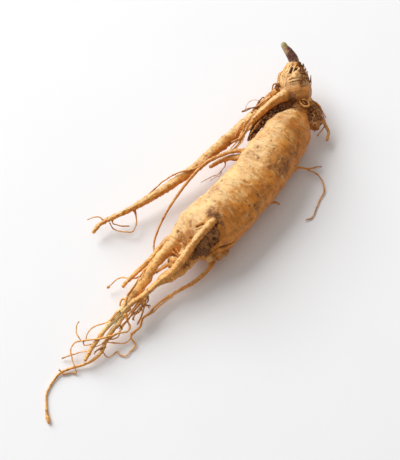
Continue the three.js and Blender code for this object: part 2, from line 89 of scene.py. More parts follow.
# The side roots
SIDE_ROOTS = {
  "front": [
    [-2, -24.5, 26.4, 3.6], [-3, -28.5, 26.6, 4.1], [-4, -32.5, 25.6, 3.9], [-5, -36.5, 24, 3.7],
    [-6, -40.5, 22, 3.7], [-6.5, -44.5, 20.5, 3.8], [-7, -48.5, 19, 3.8], [-8.5, -55.5, 16.5, 3.3],
    [-11.5, -62.5, 15, 3], [-14.8, -71, 12.7, 2.6], [-19.2, -79.8, 10.9, 2.4], [-20.8, -85, 9.6, 2.2],
  ],
  "longLeft": [
    [-5.5, 60.5, 16.6, 4], [-9, 55, 17, 3.6], [-11.8, 49, 16.6, 4], [-14.2, 43, 15.8, 4.8],
    [-16.6, 36.5, 14.8, 5.4], [-18.4, 30, 13.6, 6], [-20.2, 24, 13, 6], [-24, 13.5, 12, 5.6],
    [-28, 0, 11, 5], [-33, -11.5, 10.5, 4.7], [-40, -25.8, 9.5, 3.9], [-46, -35.7, 8.5, 2.8],
    [-49.2, -40.5, 8, 2.3], [-51.8, -44.3, 7.6, 2.4], [-53.4, -46.4, 7.4, 2.3], [-54.6, -48.5, 7.1, 1.9],
    [-55.1, -50.9, 6.8, 2], [-55.6, -53.4, 6.3, 1.8], [-55.8, -54.8, 6, 1.3],
  ],
  "overShoulder": [
    [-1.4, 59, 16.6, 4.6], [-5.4, 56, 19.8, 4.4], [-8.8, 50.2, 20.9, 4.1], [-11.9, 41.8, 20.4, 3.8],
    [-13.8, 35.2, 18.8, 3.2], [-15, 29.8, 17.4, 2.2], [-16, 26, 16.4, 1.4],
  ],
  "crossing": [
    [-7, 20.5, 15, 2.2], [-14, 17, 15.5, 2.1], [-19.5, 10.5, 15.6, 1.9], [-24, 3, 15.2, 1.7],
    [-27, -9, 13, 1.5], [-28, -17, 11.5, 1.4], [-28.5, -29, 9.5, 1.2], [-27.5, -38.5, 8, 1.1],
    [-26, -44.5, 6.5, 1], [-23, -49, 5.5, 0.9],
  ],
  "blunt": [
    [-7, 17.5, 13.5, 2.8], [-14, 14, 13, 2.6], [-16.5, 12, 12.5, 2.4], [-19, 9, 12, 2.1],
    [-22, 4, 11, 1.9],
  ],
  "besideLeftLeg": [
    [-16.5, -35, 13.5, 3], [-20.5, -44.5, 13, 2.6], [-21.5, -52, 12.5, 2.6], [-24.3, -62.5, 11.5, 2.3],
    [-26.4, -69.5, 10.2, 1.8], [-26.8, -71.6, 10, 2],
  ],
  "lowerLeft": [
    [-18.5, -79.5, 10, 2.6], [-20.6, -85.5, 9, 2.4], [-22.2, -90, 8.5, 2.2], [-23.4, -95, 8, 2.1],
    [-24.1, -102, 7, 2.1], [-24.4, -109, 6, 1.9], [-24, -113.5, 5.5, 1.5],
  ],
  "tail": [
    [-19, -82.5, 8.5, 2.4], [-19.6, -89.5, 7.6, 2.3], [-20.5, -95.5, 6.6, 2.2], [-20.3, -100.5, 5.5, 1.9],
    [-19.6, -105, 4.5, 1.6], [-21, -109.5, 3.3, 1.4], [-24, -114, 2.5, 1.3], [-28, -118, 1.8, 1.25],
    [-32, -123, 1.2, 1.2], [-33, -129, 0.8, 1], [-32.5, -135, 0.8, 0.95], [-30, -139.5, 0.8, 0.95],
    [-27, -143.5, 0.9, 1.2], [-25, -145.5, 1.1, 1.8], [-23.5, -147.2, 1, 1.3],
  ],
  "right": [
    [1, -28, 8.5, 3.6], [3.2, -34, 8.2, 3.5], [4.4, -37.8, 7.8, 3], [4.5, -41, 7.2, 2.5],
    [3.9, -44.5, 6.4, 2.2], [1.7, -51, 5.4, 2], [-3, -59, 4.6, 1.6], [-7.3, -66.5, 4, 1.15],
    [-9.1, -71.6, 3.6, 1.05], [-9.9, -75.6, 3, 1.3], [-11.5, -80, 2.5, 1.2], [-10.5, -84, 2.2, 1.1],
    [-12.5, -89.5, 1.8, 1],
  ],
  "curledLump": [
    [2.5, 58.5, 14.8, 5], [8.4, 58.6, 13, 6], [11.5, 56.6, 11.6, 6.6], [12.8, 53, 10.6, 6.6],
    [12.6, 49.4, 10, 5],
  ],
  "byTheLump": [
    [11, 57.5, 12, 1.8], [13.5, 58, 10.5, 1.7], [18, 56, 8, 1.6], [20.5, 54.5, 6.5, 1.6],
    [22, 50, 5, 1.5],
  ],
}

# Knobs where rootlets broke off: [x, y, z, width]
KNOBS = [
  [3.1, -39.6, 12.9, 3.8], [-26.9, -72, 10, 2.2], [-13.8, -73, 11.8, 2.2], [-22.6, 15.6, 14, 2.6],
  [-18.2, 33, 15.6, 2.8], [5, 60.4, 17.2, 3.6], [10.2, 54, 11, 6.4], [-34.4, -74.8, 4, 1.7],
]

# The rough lobe on the body's right, above the root that leaves there
LOBE = [
  [2.6, -38.8, 12.2, 2.6], [4, -37.6, 12.4, 4.4], [5.8, -35.4, 12.2, 5], [7.4, -32.4, 11.8, 4.6],
  [8.4, -29.6, 11.2, 2.6],
]

# Root flesh at the bottom of the hollow between the legs, painted dark as painted shade
HOLLOW = [[-12.4, -43, 11.6, 5], [-11.4, -45.6, 11.4, 5], [-10.6, -48.4, 11, 4.2]]

# Short roots that broke off between the legs
BROKEN = [
  [[-7.5, -49, 13.6, 3.2], [-10.6, -49.6, 14.4, 3.2], [-14.2, -50.3, 14.8, 3.1]],
  [[-7.5, -51.6, 13.2, 3.4], [-10, -52, 13.8, 3.5], [-12.6, -52.6, 14, 3.4]],
]

# Loose bark and dry scales standing up round the neck
SCALES = [
  [[-10.5, 69, 20.5, 3.4], [-10, 71.5, 22.4, 2.6], [-10.5, 73.5, 23.2, 1.2]],
  [[-7.5, 67, 21.5, 3.2], [-7.2, 70, 22.6, 3], [-8, 72.2, 22.8, 1.4]],
  [[-5, 66.5, 19.5, 3], [-4.6, 69.5, 20.4, 2.4], [-5.6, 72.4, 20.6, 1.1]],
  [[-4.5, 69, 17.5, 2.6], [-4.8, 72.5, 19, 1.8], [-7.2, 75.6, 20.6, 0.9]],
  [[-2, 68, 16, 2], [-2, 71.5, 17, 1.4], [-2.8, 73.6, 17.4, 0.9]],
  [[2.4, 66, 15, 1.8], [1.4, 69.5, 15.6, 1.2], [-0.6, 73, 17, 0.9]],
  [[-10, 62, 16.8, 2.4], [-13, 60, 17.6, 3], [-13.4, 57, 17.8, 2.6], [-13.2, 53.5, 18.2, 1.6]],
]

# Fine strands and dry fibres, by how pale they are: from 0 for dark ones to 1 for cream ones
STRANDS = {
  1.0: [
    # the raised rims of the crown's two slits
    [[-11.3, 69.8, 23, 0.8], [-10.9, 67.2, 24, 1], [-10.4, 64.8, 24.2, 0.8]],
    [[-9.1, 71, 23, 0.7], [-9.2, 69.6, 23.8, 0.8], [-8.8, 67.8, 24.6, 0.8], [-8.5, 66, 24.8, 0.8]],
    [[-7, 71.2, 22.6, 0.8], [-7, 69.8, 23.6, 1], [-7.6, 68.2, 24.4, 0.9]],
    # fibres beside them
    [[-13.8, 69.7, 20.7, 1], [-13.6, 66, 21.3, 0.6]],
    [[-11.6, 68.6, 23, 1.1], [-12, 65.6, 22.8, 0.8], [-11.6, 63.4, 22.8, 0.5]],
    # the curled lip below the oval scale
    [[-7.6, 61.4, 23.4, 0.6], [-6.6, 62.4, 24.2, 0.9], [-5.2, 63.4, 24.6, 0.9], [-3.6, 65, 24.2, 0.6]],
    [[-8.9, 62.6, 23.4, 0.8], [-7.8, 63.4, 24.2, 0.9], [-8.3, 64.4, 24.4, 0.6]],
  ],
  0.8: [
    # what the root over the shoulder splits into
    [
      [-13.8, 36.5, 19.6, 1.4], [-13.5, 31, 18.5, 1], [-14, 27, 17.5, 0.8], [-13.4, 23.5, 17, 0.7],
      [-14.5, 18, 16, 0.5],
    ],
    [
      [-14.5, 36.5, 20, 1.4], [-14.8, 31, 19, 0.9], [-15, 24, 17.5, 0.8], [-16.5, 22, 17, 0.6],
      [-18, 20, 16.5, 0.5],
    ],
    [
      [-14.5, 36, 20, 1.2], [-14.2, 31, 18.5, 0.9], [-14.5, 26, 17, 0.8], [-16, 20.5, 16, 0.7],
      [-17, 16, 15.5, 0.5],
    ],
    [
      [-15.5, 35, 20, 0.9], [-16.5, 31, 19.5, 0.8], [-16, 28, 18, 0.7], [-15.5, 25.5, 17, 0.5],
      [-15.5, 24.5, 16, 0.4],
    ],
    [
      [-16, 34, 19.4, 0.7], [-18, 30.5, 19, 0.6], [-18, 26, 17.5, 0.6], [-18, 24, 17, 0.5],
      [-17, 23, 16, 0.4],
    ],
    # arcs in the hollow between the legs
    [
      [-11.5, -41.5, 20.5, 0.7], [-10, -42.5, 20.6, 0.6], [-8.5, -44, 19, 0.5], [-9, -46, 18, 0.4],
      [-11.5, -47, 17, 0.4],
    ],
    [[-14, -46.5, 16.6, 0.6], [-11.5, -47, 16.4, 0.5], [-8, -47.5, 16.6, 0.5]],
    [[-13, -44.5, 17.4, 0.6], [-10.5, -46, 17, 0.5], [-8, -46, 18, 0.5]],
    [[-12, -42.5, 21.6, 0.7], [-10, -43, 21.8, 0.6], [-8.6, -43.6, 21, 0.5]],
    [
      [-6.5, -53.5, 16.2, 0.9], [-6.3, -56, 15.6, 0.9], [-5.7, -57.9, 15, 0.8], [-7.1, -59.6, 14.6, 0.8],
      [-8.5, -61.1, 14.4, 0.7],
    ],
    [[-7.2, -60.9, 14, 0.6], [-8.5, -61.4, 14.2, 0.7], [-10.2, -62, 14.4, 0.6]],
    [
      [-12.4, -77.9, 10.5, 0.7], [-13.8, -80.3, 9.5, 0.6], [-14.6, -83, 9, 0.6], [-14.3, -84.4, 8.5, 0.5],
      [-13.2, -83.8, 8, 0.4],
    ],
    [
      [-21.5, -69.7, 13, 0.9], [-22.3, -73.9, 12.5, 0.8], [-21.5, -78, 12.5, 0.8],
      [-20.4, -80.6, 12, 0.7],
    ],
    [[-21.5, -84, 11.5, 0.8], [-22.4, -87.1, 10.5, 0.8], [-23.1, -90.8, 10, 0.6]],
  ],
  0.35: [
    # dry strands beside the crown and the spike on its right
    [[-6.2, 73.2, 19, 0.9], [-6.3, 74.8, 20.5, 0.7], [-7.2, 75.7, 21.5, 0.3]],
    [[-4.1, 70.6, 18.5, 0.9], [-3.3, 72.1, 20, 0.7], [-1.2, 71, 19.5, 0.4]],
    [[-6, 71.9, 19, 0.8], [-4.1, 73.4, 20.5, 0.6], [-6, 74.7, 21, 0.3]],
    [[1, 67.7, 17, 1.1], [0.3, 70.4, 18.5, 0.7], [-0.6, 72.6, 19.5, 0.3]],
    # frayed bits at the crown's right
    [[-4.5, 70, 20, 1.4], [-4.2, 72, 20.6, 1.2], [-5, 73.8, 20.6, 0.6]],
    [[-2.6, 69.5, 19.5, 1.3], [-2.6, 71.5, 20, 0.9], [-3.4, 73.4, 20.2, 0.5]],
    [[-3, 67.5, 21, 1.2], [-1.4, 69.5, 20.4, 1], [-1, 71.4, 19.4, 0.5]],
    [[-5.4, 68.6, 22, 1.1], [-4.2, 70.2, 21.6, 0.9], [-4.4, 71.6, 21.2, 0.5]],
    # between the root over the shoulder and the long left root
    [
      [-14.5, 45.5, 18.5, 0.9], [-16.5, 42.5, 18.5, 0.8], [-18.5, 41, 18, 0.7], [-20, 39, 17, 0.6],
      [-22, 37.5, 16.5, 0.9],
    ],
    [
      [-14, 47.5, 19, 1], [-16, 45.5, 18.5, 0.9], [-16.5, 43, 18, 0.8], [-16.5, 40, 17.5, 0.7],
      [-16.5, 36, 17, 0.6],
    ],
  ],
  0.3: [
    # the knot at the neck's left
    [[-11, 59.6, 20.6, 1], [-12.6, 58.4, 20.8, 0.9], [-13, 56.6, 20.6, 0.8], [-11.6, 55.4, 20.4, 0.7]],
    # dark knots and tufts beside the lower roots
    [[-13.5, -70.7, 12, 0.9], [-12.1, -73.1, 11.5, 0.8], [-12, -74.6, 11.5, 0.6]],
    [[-13.5, -75.1, 12, 0.8], [-13.5, -76.6, 12, 0.7], [-12.5, -76.9, 11, 0.5]],
    [
      [-12.8, -76.3, 11.5, 0.8], [-11.3, -75.7, 11.5, 0.7], [-10.5, -74.7, 11, 0.7],
      [-9.7, -74.7, 10, 0.4],
    ],
    [[-18, -90.5, 11, 0.7], [-16.5, -91, 11, 0.7], [-15.5, -91.5, 10, 0.5]],
    [[-19, -104, 8, 0.7], [-21, -106, 8, 0.6], [-22, -107.5, 7, 0.4]],
    [[-18, -102.5, 8, 0.5], [-19.5, -104, 8.5, 0.5], [-19.5, -105.5, 8, 0.5]],
  ],
  0.5: [
    # by the curled lump
    [
      [6, 61.2, 17, 0.9], [9, 61.5, 15.4, 0.9], [12, 60.5, 14, 0.8], [14.5, 59.5, 12.5, 0.7],
      [16.5, 58.5, 11, 0.4],
    ],
    [[7, 60.5, 16, 0.7], [9, 59.5, 15, 0.6], [10, 61.5, 14, 0.5], [12, 60.5, 13, 0.5], [13, 59, 12, 0.4]],
    [[14, 57, 10, 0.7], [14.5, 54.5, 8.5, 0.6], [14.5, 52.5, 7.5, 0.5], [14, 50.5, 6.5, 0.4]],
    # between the root over the shoulder and the long left root
    [
      [-14, 49, 19, 0.9], [-16, 49, 19, 0.8], [-16.5, 46.5, 19, 0.8], [-17, 43, 17.8, 0.8],
      [-17.5, 37.5, 17, 0.7], [-17.5, 33, 16, 0.5],
    ],
    [[-13, 44, 18, 1.2], [-14.6, 39, 18, 1.1], [-15.6, 34.5, 17, 0.9], [-16, 30, 16.4, 0.6]],
    [[-12, 41, 18, 1.1], [-13.4, 36, 17.6, 0.9], [-14, 31, 16.6, 0.7], [-14.4, 27, 15.6, 0.5]],
    [[-12.5, 60, 19, 1], [-14.6, 58.4, 19.4, 0.9], [-14, 55.6, 19, 0.7], [-12.6, 53.6, 18.6, 0.5]],
    # beside the lower roots
    [
      [-12.7, -74.2, 12, 1.2], [-13.2, -77.2, 11.5, 1], [-14, -80, 11, 1], [-15.4, -83.1, 10.5, 0.95],
      [-15.8, -86, 10, 0.9], [-16.9, -89.4, 9.5, 0.8], [-17.3, -91.9, 9, 0.7],
    ],
    [
      [-14.5, -75.7, 12, 1], [-15.1, -78, 12, 0.9], [-15.6, -81.9, 11, 0.8], [-15.7, -84.2, 10.5, 0.7],
      [-16.4, -86.9, 10, 0.6],
    ],
    [
      [-12.4, -74.6, 11.5, 1], [-12.2, -76.2, 11.5, 0.9], [-11.6, -78.9, 10.5, 0.8],
      [-11.2, -81.2, 9.5, 0.7], [-11.1, -83.3, 8.5, 0.6], [-11.1, -84.6, 8, 0.9],
    ],
    [[-10.5, 36.5, 19.4, 0.9], [-11, 33, 19, 0.8], [-11.4, 30, 18.4, 0.7], [-11.5, 26.6, 17.4, 0.5]],
  ],
  0.0: [
    # what shows dark in the crown's slits
    [[-9.5, 65.2, 24.6, 0.9], [-9.9, 67.3, 24.6, 1.1], [-10.2, 69.4, 23.8, 0.8]],
    [[-8.5, 68.2, 24.4, 0.8], [-8.2, 69.6, 23.9, 0.9], [-7.9, 70.8, 23.3, 0.6]],
  ],
}

# Strands rolled into coils: the loop below the crown, and the ears of the curled lump.
# Each is its middle, its outer and inner reach, its turns, its width, how pale it is and how flat it is
COILS = [
  {"middle": [4.2, 57, 19.4], "reach": [3, 2.1], "turns": 0.95, "width": 1.15, "pale": 0.6, "squash": 0.62},
  {"middle": [7.2, 57.6, 16.8], "reach": [1.6, 0.5], "turns": 1.2, "width": 1.1, "pale": 0.2, "squash": 0.8},
  {"middle": [9.2, 56.6, 16.2], "reach": [1.9, 0.9], "turns": 0.8, "width": 1.2, "pale": 0.3, "squash": 1.4},
]

# Hairs, far finer than the rootlets
HAIRS = [
  [
    [-15, 46.5, 19, 0.4], [-19, 45.5, 19, 0.35], [-21, 43.5, 18, 0.35], [-21.5, 41.5, 17, 0.3],
    [-21, 40, 16.5, 0.3],
  ],
  [
    [-16.5, 11, 12, 0.6], [-15.5, 9, 10.5, 0.45], [-16, 6.5, 9, 0.4], [-17, 4, 7.5, 0.4],
    [-19.5, 2, 6, 0.4], [-23, -2.5, 4, 0.3],
  ],
  [[-16, 6.5, 9, 0.35], [-15.6, 4.6, 7.8, 0.3], [-17.6, 2.2, 6.8, 0.3], [-19, 0, 6, 0.3]],
]

# The rootlets
ROOTLETS = [
  # at the neck's right
  [[4.5, 60, 14, 1.2], [8, 61, 14, 1], [11.5, 61, 12, 1], [15.5, 58.5, 10, 0.9], [16.5, 58, 9, 0.9]],
  [[17.5, 56, 8, 0.9], [16.5, 50, 5, 0.9]],
  # at the body's right
  [
    [12, 20, 10.5, 1.8], [15.5, 25, 8.5, 1.6], [17, 29, 6.5, 1.4], [21.5, 32, 4, 1.2], [24.5, 35.5, 3, 1],
    [26.5, 37, 2.5, 0.9],
  ],
  [
    [21, 31, 4, 1.1], [24.5, 32, 3, 1], [29, 31, 2, 1], [33, 27, 1.2, 1], [34, 20.5, 0.9, 1],
    [34.5, 17, 0.8, 0.9], [35, 10, 0.8, 0.9], [33, 7, 0.8, 0.9],
  ],
  [[11.5, 3, 9, 1.6], [14.5, 4, 8.5, 1.4], [16.5, 5.5, 8, 1.3], [18.5, 5.5, 7, 1.1]],
  # along the long left root
  [[-54, -47, 7, 1], [-56.5, -46, 7.5, 0.9], [-59, -47, 7, 0.9], [-62, -50, 6, 0.9]],
  [[-51, -43, 7, 1], [-50, -45, 5.6, 0.9], [-46, -44, 5, 0.9], [-42, -41.5, 4, 0.9]],
  [
    [-45, -33, 8, 1.4], [-42, -35.5, 6.5, 1.1], [-39.6, -39, 5.2, 1], [-39.3, -43.4, 4.2, 1],
    [-42, -45, 4, 0.9], [-48, -47, 4, 0.9], [-52, -45, 4.6, 0.9],
  ],
  [
    [-23, 5, 15, 1.2], [-27, -1, 14.5, 1.2], [-34, -8, 13.5, 1.1], [-38, -14.5, 12, 1.1],
    [-42, -25, 9, 1],
  ],
  # what the root over the shoulder splits into
  [[-15, 35.5, 19, 2], [-15.5, 27, 17, 1.2], [-16.5, 21.5, 16, 1], [-18.5, 20, 15.4, 0.9]],
  [[-14.6, 36, 19, 2], [-14.5, 27, 16.5, 1.2], [-15, 20, 15, 1], [-16, 16.6, 15.3, 0.9]],
  [
    [-12.5, 51, 20, 1.2], [-15, 46, 19, 1.1], [-16.5, 43, 18, 1], [-20, 40.5, 17, 0.9],
    [-22, 37.5, 16, 1.2],
  ],
  [[-16.5, 43, 18, 1.1], [-18, 36, 16.5, 1], [-18, 30.5, 15.8, 1], [-17, 27, 16, 0.9]],
  # beside and between the legs
  [
    [-7.5, -52, 12.5, 2], [-9.2, -53.6, 13, 1.9], [-11, -55.4, 13, 1.8], [-12.8, -58, 12.5, 1.7],
    [-13.7, -62, 12, 1.6], [-14.9, -67.2, 11, 1.4],
  ],
  [
    [-10.5, -47.5, 13, 2], [-12, -50.4, 13, 1.9], [-13.2, -52.4, 13, 1.9], [-14.7, -55.6, 12.5, 1.8],
    [-15.8, -59, 12, 1.4],
  ],
  [[-20.5, -62, 11, 1.4], [-24.5, -66, 9, 1], [-31.5, -68.5, 6, 0.9], [-34.5, -75, 4, 0.9]],
  [
    [-21, -59, 12.5, 1], [-21.5, -63, 14.4, 1], [-21.8, -70, 13, 1], [-22, -74, 12.8, 1],
    [-22, -80, 11, 1],
  ],
  [
    [-20.5, -77.6, 11.6, 1.5], [-22.3, -77.9, 12, 1.4], [-23.4, -78.6, 11.6, 1.3],
    [-23.2, -80.7, 11, 1.3], [-22.4, -82.2, 10.4, 1.2],
  ],
  [
    [-20.5, -80, 10, 1.2], [-23, -85.5, 9, 0.9], [-24.2, -91, 8, 0.9], [-29.5, -96.5, 5.5, 0.9],
    [-30.5, -101, 4.5, 0.9], [-29, -104, 4, 0.9],
  ],
  # from the tangle below the front root
  [[-14, -71.5, 12, 1.4], [-13.5, -75.5, 10.5, 1], [-11.5, -74.5, 10, 0.9], [-10, -75.5, 9.4, 1]],
  [[-13.6, -73, 11, 1.3], [-12, -78, 9, 1], [-11.5, -82, 6, 0.9], [-12, -84.5, 4.4, 0.9]],
  [[-13.4, -75, 10.4, 1.1], [-13.5, -79.5, 8, 0.9], [-15, -81, 7, 0.9], [-14.5, -84, 6, 0.9]],
  [
    [-14, -73, 11.4, 1.3], [-15.5, -80, 10, 1.1], [-16, -85.5, 9, 1], [-17.5, -93.5, 6.5, 1],
    [-19.4, -98, 6.2, 1],
  ],
  [[-15, -73, 12, 1.2], [-16.5, -79.5, 10, 1], [-17, -85, 9.4, 1]],
  # from the lower left root and the tail
  [
    [-19, -83.5, 9.6, 1.6], [-16.5, -86, 9, 1.3], [-13.5, -88, 8, 1.2], [-13.4, -90.5, 7.2, 1.2],
    [-16.5, -93, 7, 1.2], [-19.5, -97, 8.2, 1.2], [-24, -101.5, 8.6, 1.15], [-29, -104.5, 7, 1.05],
    [-33, -107.5, 5.5, 1], [-33.5, -111, 4.5, 0.9], [-31, -114.5, 3.5, 0.9], [-27, -118, 3, 0.9],
    [-25.4, -119.6, 1.2, 0.9], [-27.5, -120.5, 0.8, 1], [-30.5, -123, 0.9, 1],
  ],
  [[-31, -105.5, 6.2, 0.9], [-34.5, -103.5, 6.5, 0.9], [-37, -99.5, 6, 0.9], [-37, -97.5, 5.5, 0.9]],
  [[-30, -105, 6.6, 0.9], [-28.5, -106.5, 5.5, 0.9], [-25.5, -104.5, 6.6, 0.9]],
  [[-24.4, -108, 6.2, 1], [-29, -110.5, 4, 0.9], [-32, -113.5, 3, 0.9], [-35.5, -117, 1.5, 1]],
  [[-20.5, -99, 6.4, 1], [-21.5, -102.5, 6.5, 0.9], [-23.6, -105, 6.8, 0.9]],
  [[-20.2, -102.5, 5.5, 0.9], [-22, -105.5, 4.5, 0.9], [-22.5, -107.5, 3.5, 0.9]],
  [[-20.4, -98.5, 6.4, 1], [-18, -96.5, 5, 0.9], [-16.5, -94.5, 5, 0.9], [-16.8, -91.5, 7.2, 0.9]],
  [[-33.5, -122.4, 2.4, 0.9], [-32, -122.6, 1.6, 1], [-30, -123.4, 0.9, 1]],
  # from the right root
  [
    [-4.4, -62, 4.3, 1.3], [-6.3, -67.6, 4.4, 1.1], [-7.5, -71, 4.2, 1.05], [-8.4, -74.6, 3.8, 1],
    [-10.2, -77.4, 3, 1.2],
  ],
  [[-12, -88.5, 1.8, 1], [-12, -94, 2, 0.9], [-18, -98, 2.5, 0.9], [-20.6, -99.5, 5, 0.9]],
  [
    [-12.5, -88.5, 1.8, 1.1], [-11.5, -91, 1.8, 1], [-8, -92.5, 1.4, 1], [-7.6, -94.4, 1, 1],
    [-8.5, -97, 0.8, 0.9], [-9, -100, 0.8, 0.9], [-12, -101, 0.8, 0.9], [-14, -100, 0.8, 0.9],
    [-15.5, -104.5, 1, 0.9], [-17.4, -105.2, 1.6, 0.9], [-20, -104, 4, 0.9],
  ],
  [[-10.6, -84.5, 2.2, 1], [-11.5, -88.5, 1.4, 0.9]],
]

# Waves of the skin, as in the part: height in mm, turns round the root, rate in radians a mm,
# phase, sway and the length over which a wave fades
BODY_WAVES = [
  {"height": 0.35, "turns": 3, "rate": 0.09},
  {"height": 0.3, "turns": 2, "rate": -0.06, "phase": 1},
  {"height": 0.28, "rate": 0.9, "sway": 0.8, "fade": 60},
]
NECK_WAVES = [
  {"height": 0.15, "rate": 1.5, "sway": 1},
  {"height": 0.3, "turns": 5, "rate": 0.3},
]
LEG_WAVES = [
  {"height": 0.18, "rate": 1.1, "sway": 1},
  {"height": 0.16, "turns": 2, "rate": 0.2},
]
LUMP_WAVES = [
  {"height": 0.5, "turns": 3, "rate": 1},
  {"height": 0.4, "rate": 1.7},
]

# The scar on the front of the body that holds the soil
SCAR = {"length": 18.5, "width": 10.4, "depth": 2.4}
SCAR_MIDDLE = np.array([0.4, -34.2, 23.3])
SCAR_OUTWARD = np.array([0.32, -0.36, 0.88])
SCAR_ALONG = np.array([0.14, 0.93, 0.34])
SCAR_WAVE = 0.09
SOIL_REACH = 1.16  # how far out the soil goes, where 1 is the scar's rim
NEAR_SCAR = 6  # mm off the scar's plane, within which it is carved

# Marks on the body, as [x, y, z, size, height]: knobs and old scars stand out, pits go in
SPOTS = [
  [-9.5, -9.8, 24.3, 1, 0.7], [-11.1, -15, 24, 0.9, 0.35], [-10.4, -3.6, 22.2, 0.7, -0.5],
  [0, 15.2, 25.3, 0.6, -0.5], [10.2, -7, 22, 0.7, -0.6], [8.3, -9, 23.4, 0.5, -0.35],
  [11.9, -12.7, 17.7, 0.6, -0.4], [6.5, 13.7, 25.5, 1.1, 0.5], [13.6, 20.3, 20.9, 0.6, -0.4],
  [14.7, 18.8, 19, 0.6, -0.4], [-6.8, -22.7, 27, 1.2, 0.35], [-3.7, -22.2, 27.1, 1.3, 0.4],
  [-3.5, 20.7, 23.9, 0.7, -0.3], [0.9, 26.4, 25.8, 0.5, -0.3], [4.6, 23, 26.2, 0.5, -0.3],
  [10.3, -12.3, 20.7, 0.5, -0.3], [4.9, -13.4, 24.9, 0.4, -0.25], [-4.6, -50.6, 16.4, 0.8, -0.8],
  [-16.4, -37.1, 18.6, 0.8, -0.3], [-0.1, -21.6, 26.4, 1, 0.3], [8.7, 15.3, 24.9, 1.6, 0.3],
  [14, 19.6, 20.1, 2, 0.3],
]

# Fine pale scratches, as two ends and a width
SCRATCHES = [
  [[-3.4, 29.1, 24], [-0.9, 28.5, 25.3], 0.4],
  [[4.8, 35.4, 25.3], [8.4, 34.1, 24], 0.35],
  [[5.5, 36.3, 25.2], [10, 34.6, 23], 0.4],
  [[4.4, 33.6, 25.4], [7.2, 32.7, 24.8], 0.35],
  [[7.9, 34, 24.4], [10, 33, 23.1], 0.35],
  [[9.1, 14.1, 24.7], [12.7, 13.4, 22.1], 0.4],
  [[10.1, 15.2, 24.3], [14.6, 14.6, 19.4], 0.4],
  [[13.7, 13.9, 21.1], [15.8, 14.3, 16.6], 0.35],
  [[8.8, 12.6, 24.7], [11.1, 12.1, 23.4], 0.35],
  [[9.3, 21.9, 24.7], [9.5, 19.5, 24.5], 0.4],
  [[9.5, 19.5, 24.5], [9.5, 17.4, 24.5], 0.4],
  [[-0.9, -3.3, 25.9], [5, -5.7, 25.2], 0.4],
  [[-0.9, -6.3, 26.2], [2.4, -7.6, 25.9], 0.35],
  [[6.3, -7.5, 24.6], [9.7, -7.8, 22.3], 0.35],
  [[3.9, 0.9, 25.6], [10.4, -1.4, 22.7], 0.42],
  [[2.7, 8, 25.6], [7.2, 6.7, 25.1], 0.35],
  [[-5.8, 12.9, 22.6], [-2.4, 12.3, 24.4], 0.35],
  [[0.7, -16.1, 26.2], [3.6, -17.3, 25], 0.35],
  [[-0.7, 19.9, 25.1], [0, 21.7, 25.5], 0.35],
  [[0, 41.2, 24.2], [1.7, 42.9, 24.1], 0.35],
  [[-2.3, 38, 24.1], [-1.1, 39.5, 24.4], 0.35],
  [[2, 34.8, 25.4], [9.6, 32.6, 23.4], 0.35],
]

# Cuts and cracks in the skin, as two ends, a width and a depth
CUTS = [
  [[-8, -32.6, 25.7], [-5.9, -30.2, 26.8], 0.5, 1],
  [[-7.4, -34, 25.3], [-6, -32.6, 26], 0.35, 0.5],
  [[-8.7, -38.1, 21.1], [-6.9, -37.1, 24.5], 0.35, 0.5],
  [[-0.2, 0.6, 25.6], [3.1, 0.3, 25.7], 0.4, 0.45],
  [[1.4, -39.3, 13.6], [2.1, -38.1, 15.3], 0.6, 1.1],
  [[2.1, -38.1, 15.3], [3.5, -36.6, 17.9], 0.6, 1.1],
  [[3.5, -36.6, 17.9], [5.1, -34.5, 18.6], 0.6, 1.1],
  [[5.1, -34.5, 18.6], [7.1, -32, 17.6], 0.6, 1.1],
  [[7.1, -32, 17.6], [8.8, -29, 15.8], 0.5, 1],
  [[8.8, -29, 15.8], [9.6, -26.4, 14.5], 0.5, 0.7],
  [[7.1, -32, 17.6], [9.4, -31.2, 13.2], 0.4, 0.6],
  [[12.2, 35, 20.7], [13.4, 32, 19.3], 0.5, 0.4],
  [[13.4, 32, 19.3], [14.7, 28, 18.4], 0.5, 0.4],
  [[-12.7, -46.8, 16], [-10, -43.9, 17.4], 0.7, 1],
  [[-16.7, -36.7, 18.7], [-14.3, -37.1, 19.2], 0.4, 0.45],
  [[-9.1, 66.3, 24.4], [-9.05, 70.8, 22.7], 0.42, 1.1],
  [[-7.8, 66.3, 24.9], [-7.8, 70.2, 23.6], 0.42, 1.1],
  [[-13.2, 61.2, 18.7], [-11.3, 59.7, 20.6], 0.7, 0.5],
  [[-11.3, 59.7, 20.6], [-7.8, 60.5, 22.5], 0.7, 0.3],
  [[-7.8, 60.5, 22.5], [-4.2, 61.3, 23.4], 0.7, 0.25],
  [[-4.2, 61.3, 23.4], [-0.7, 62.4, 22.9], 0.7, 0.3],
  [[-0.7, 62.4, 22.9], [0.2, 66.7, 19.9], 0.8, 0.6],
]

# Flat pieces on the crown, as [x, y, z, width, length, thickness, how pale]
PLATES = [
  [-6.3, 66, 24.4, 4.8, 5, 2.6, 0.95], [-2.8, 64.2, 23.4, 3.2, 3.4, 2.4, 0.36],
  [-4.2, 67.4, 22.6, 2.2, 4, 1.6, 0.6], [-12.4, 65, 22.3, 2.2, 4.2, 1.2, 0.7],
  [-1, 67.2, 20.6, 2.2, 4.2, 1.4, 0.4], [-8.6, 72.6, 21.6, 3.6, 3.6, 1.2, 0.7],
  [4.2, 57.2, 18.8, 3.2, 2.8, 1.2, 0.35], [-12.2, 58.6, 20.4, 1.6, 2.2, 1, 0.35],
  [-11.6, 56.4, 20.4, 1.5, 2, 0.9, 0.3], [-10.6, 58.4, 21, 1.4, 1.8, 0.9, 0.4],
  [-6.8, 74.6, 19.6, 2.4, 3.4, 1, 0.4],
]

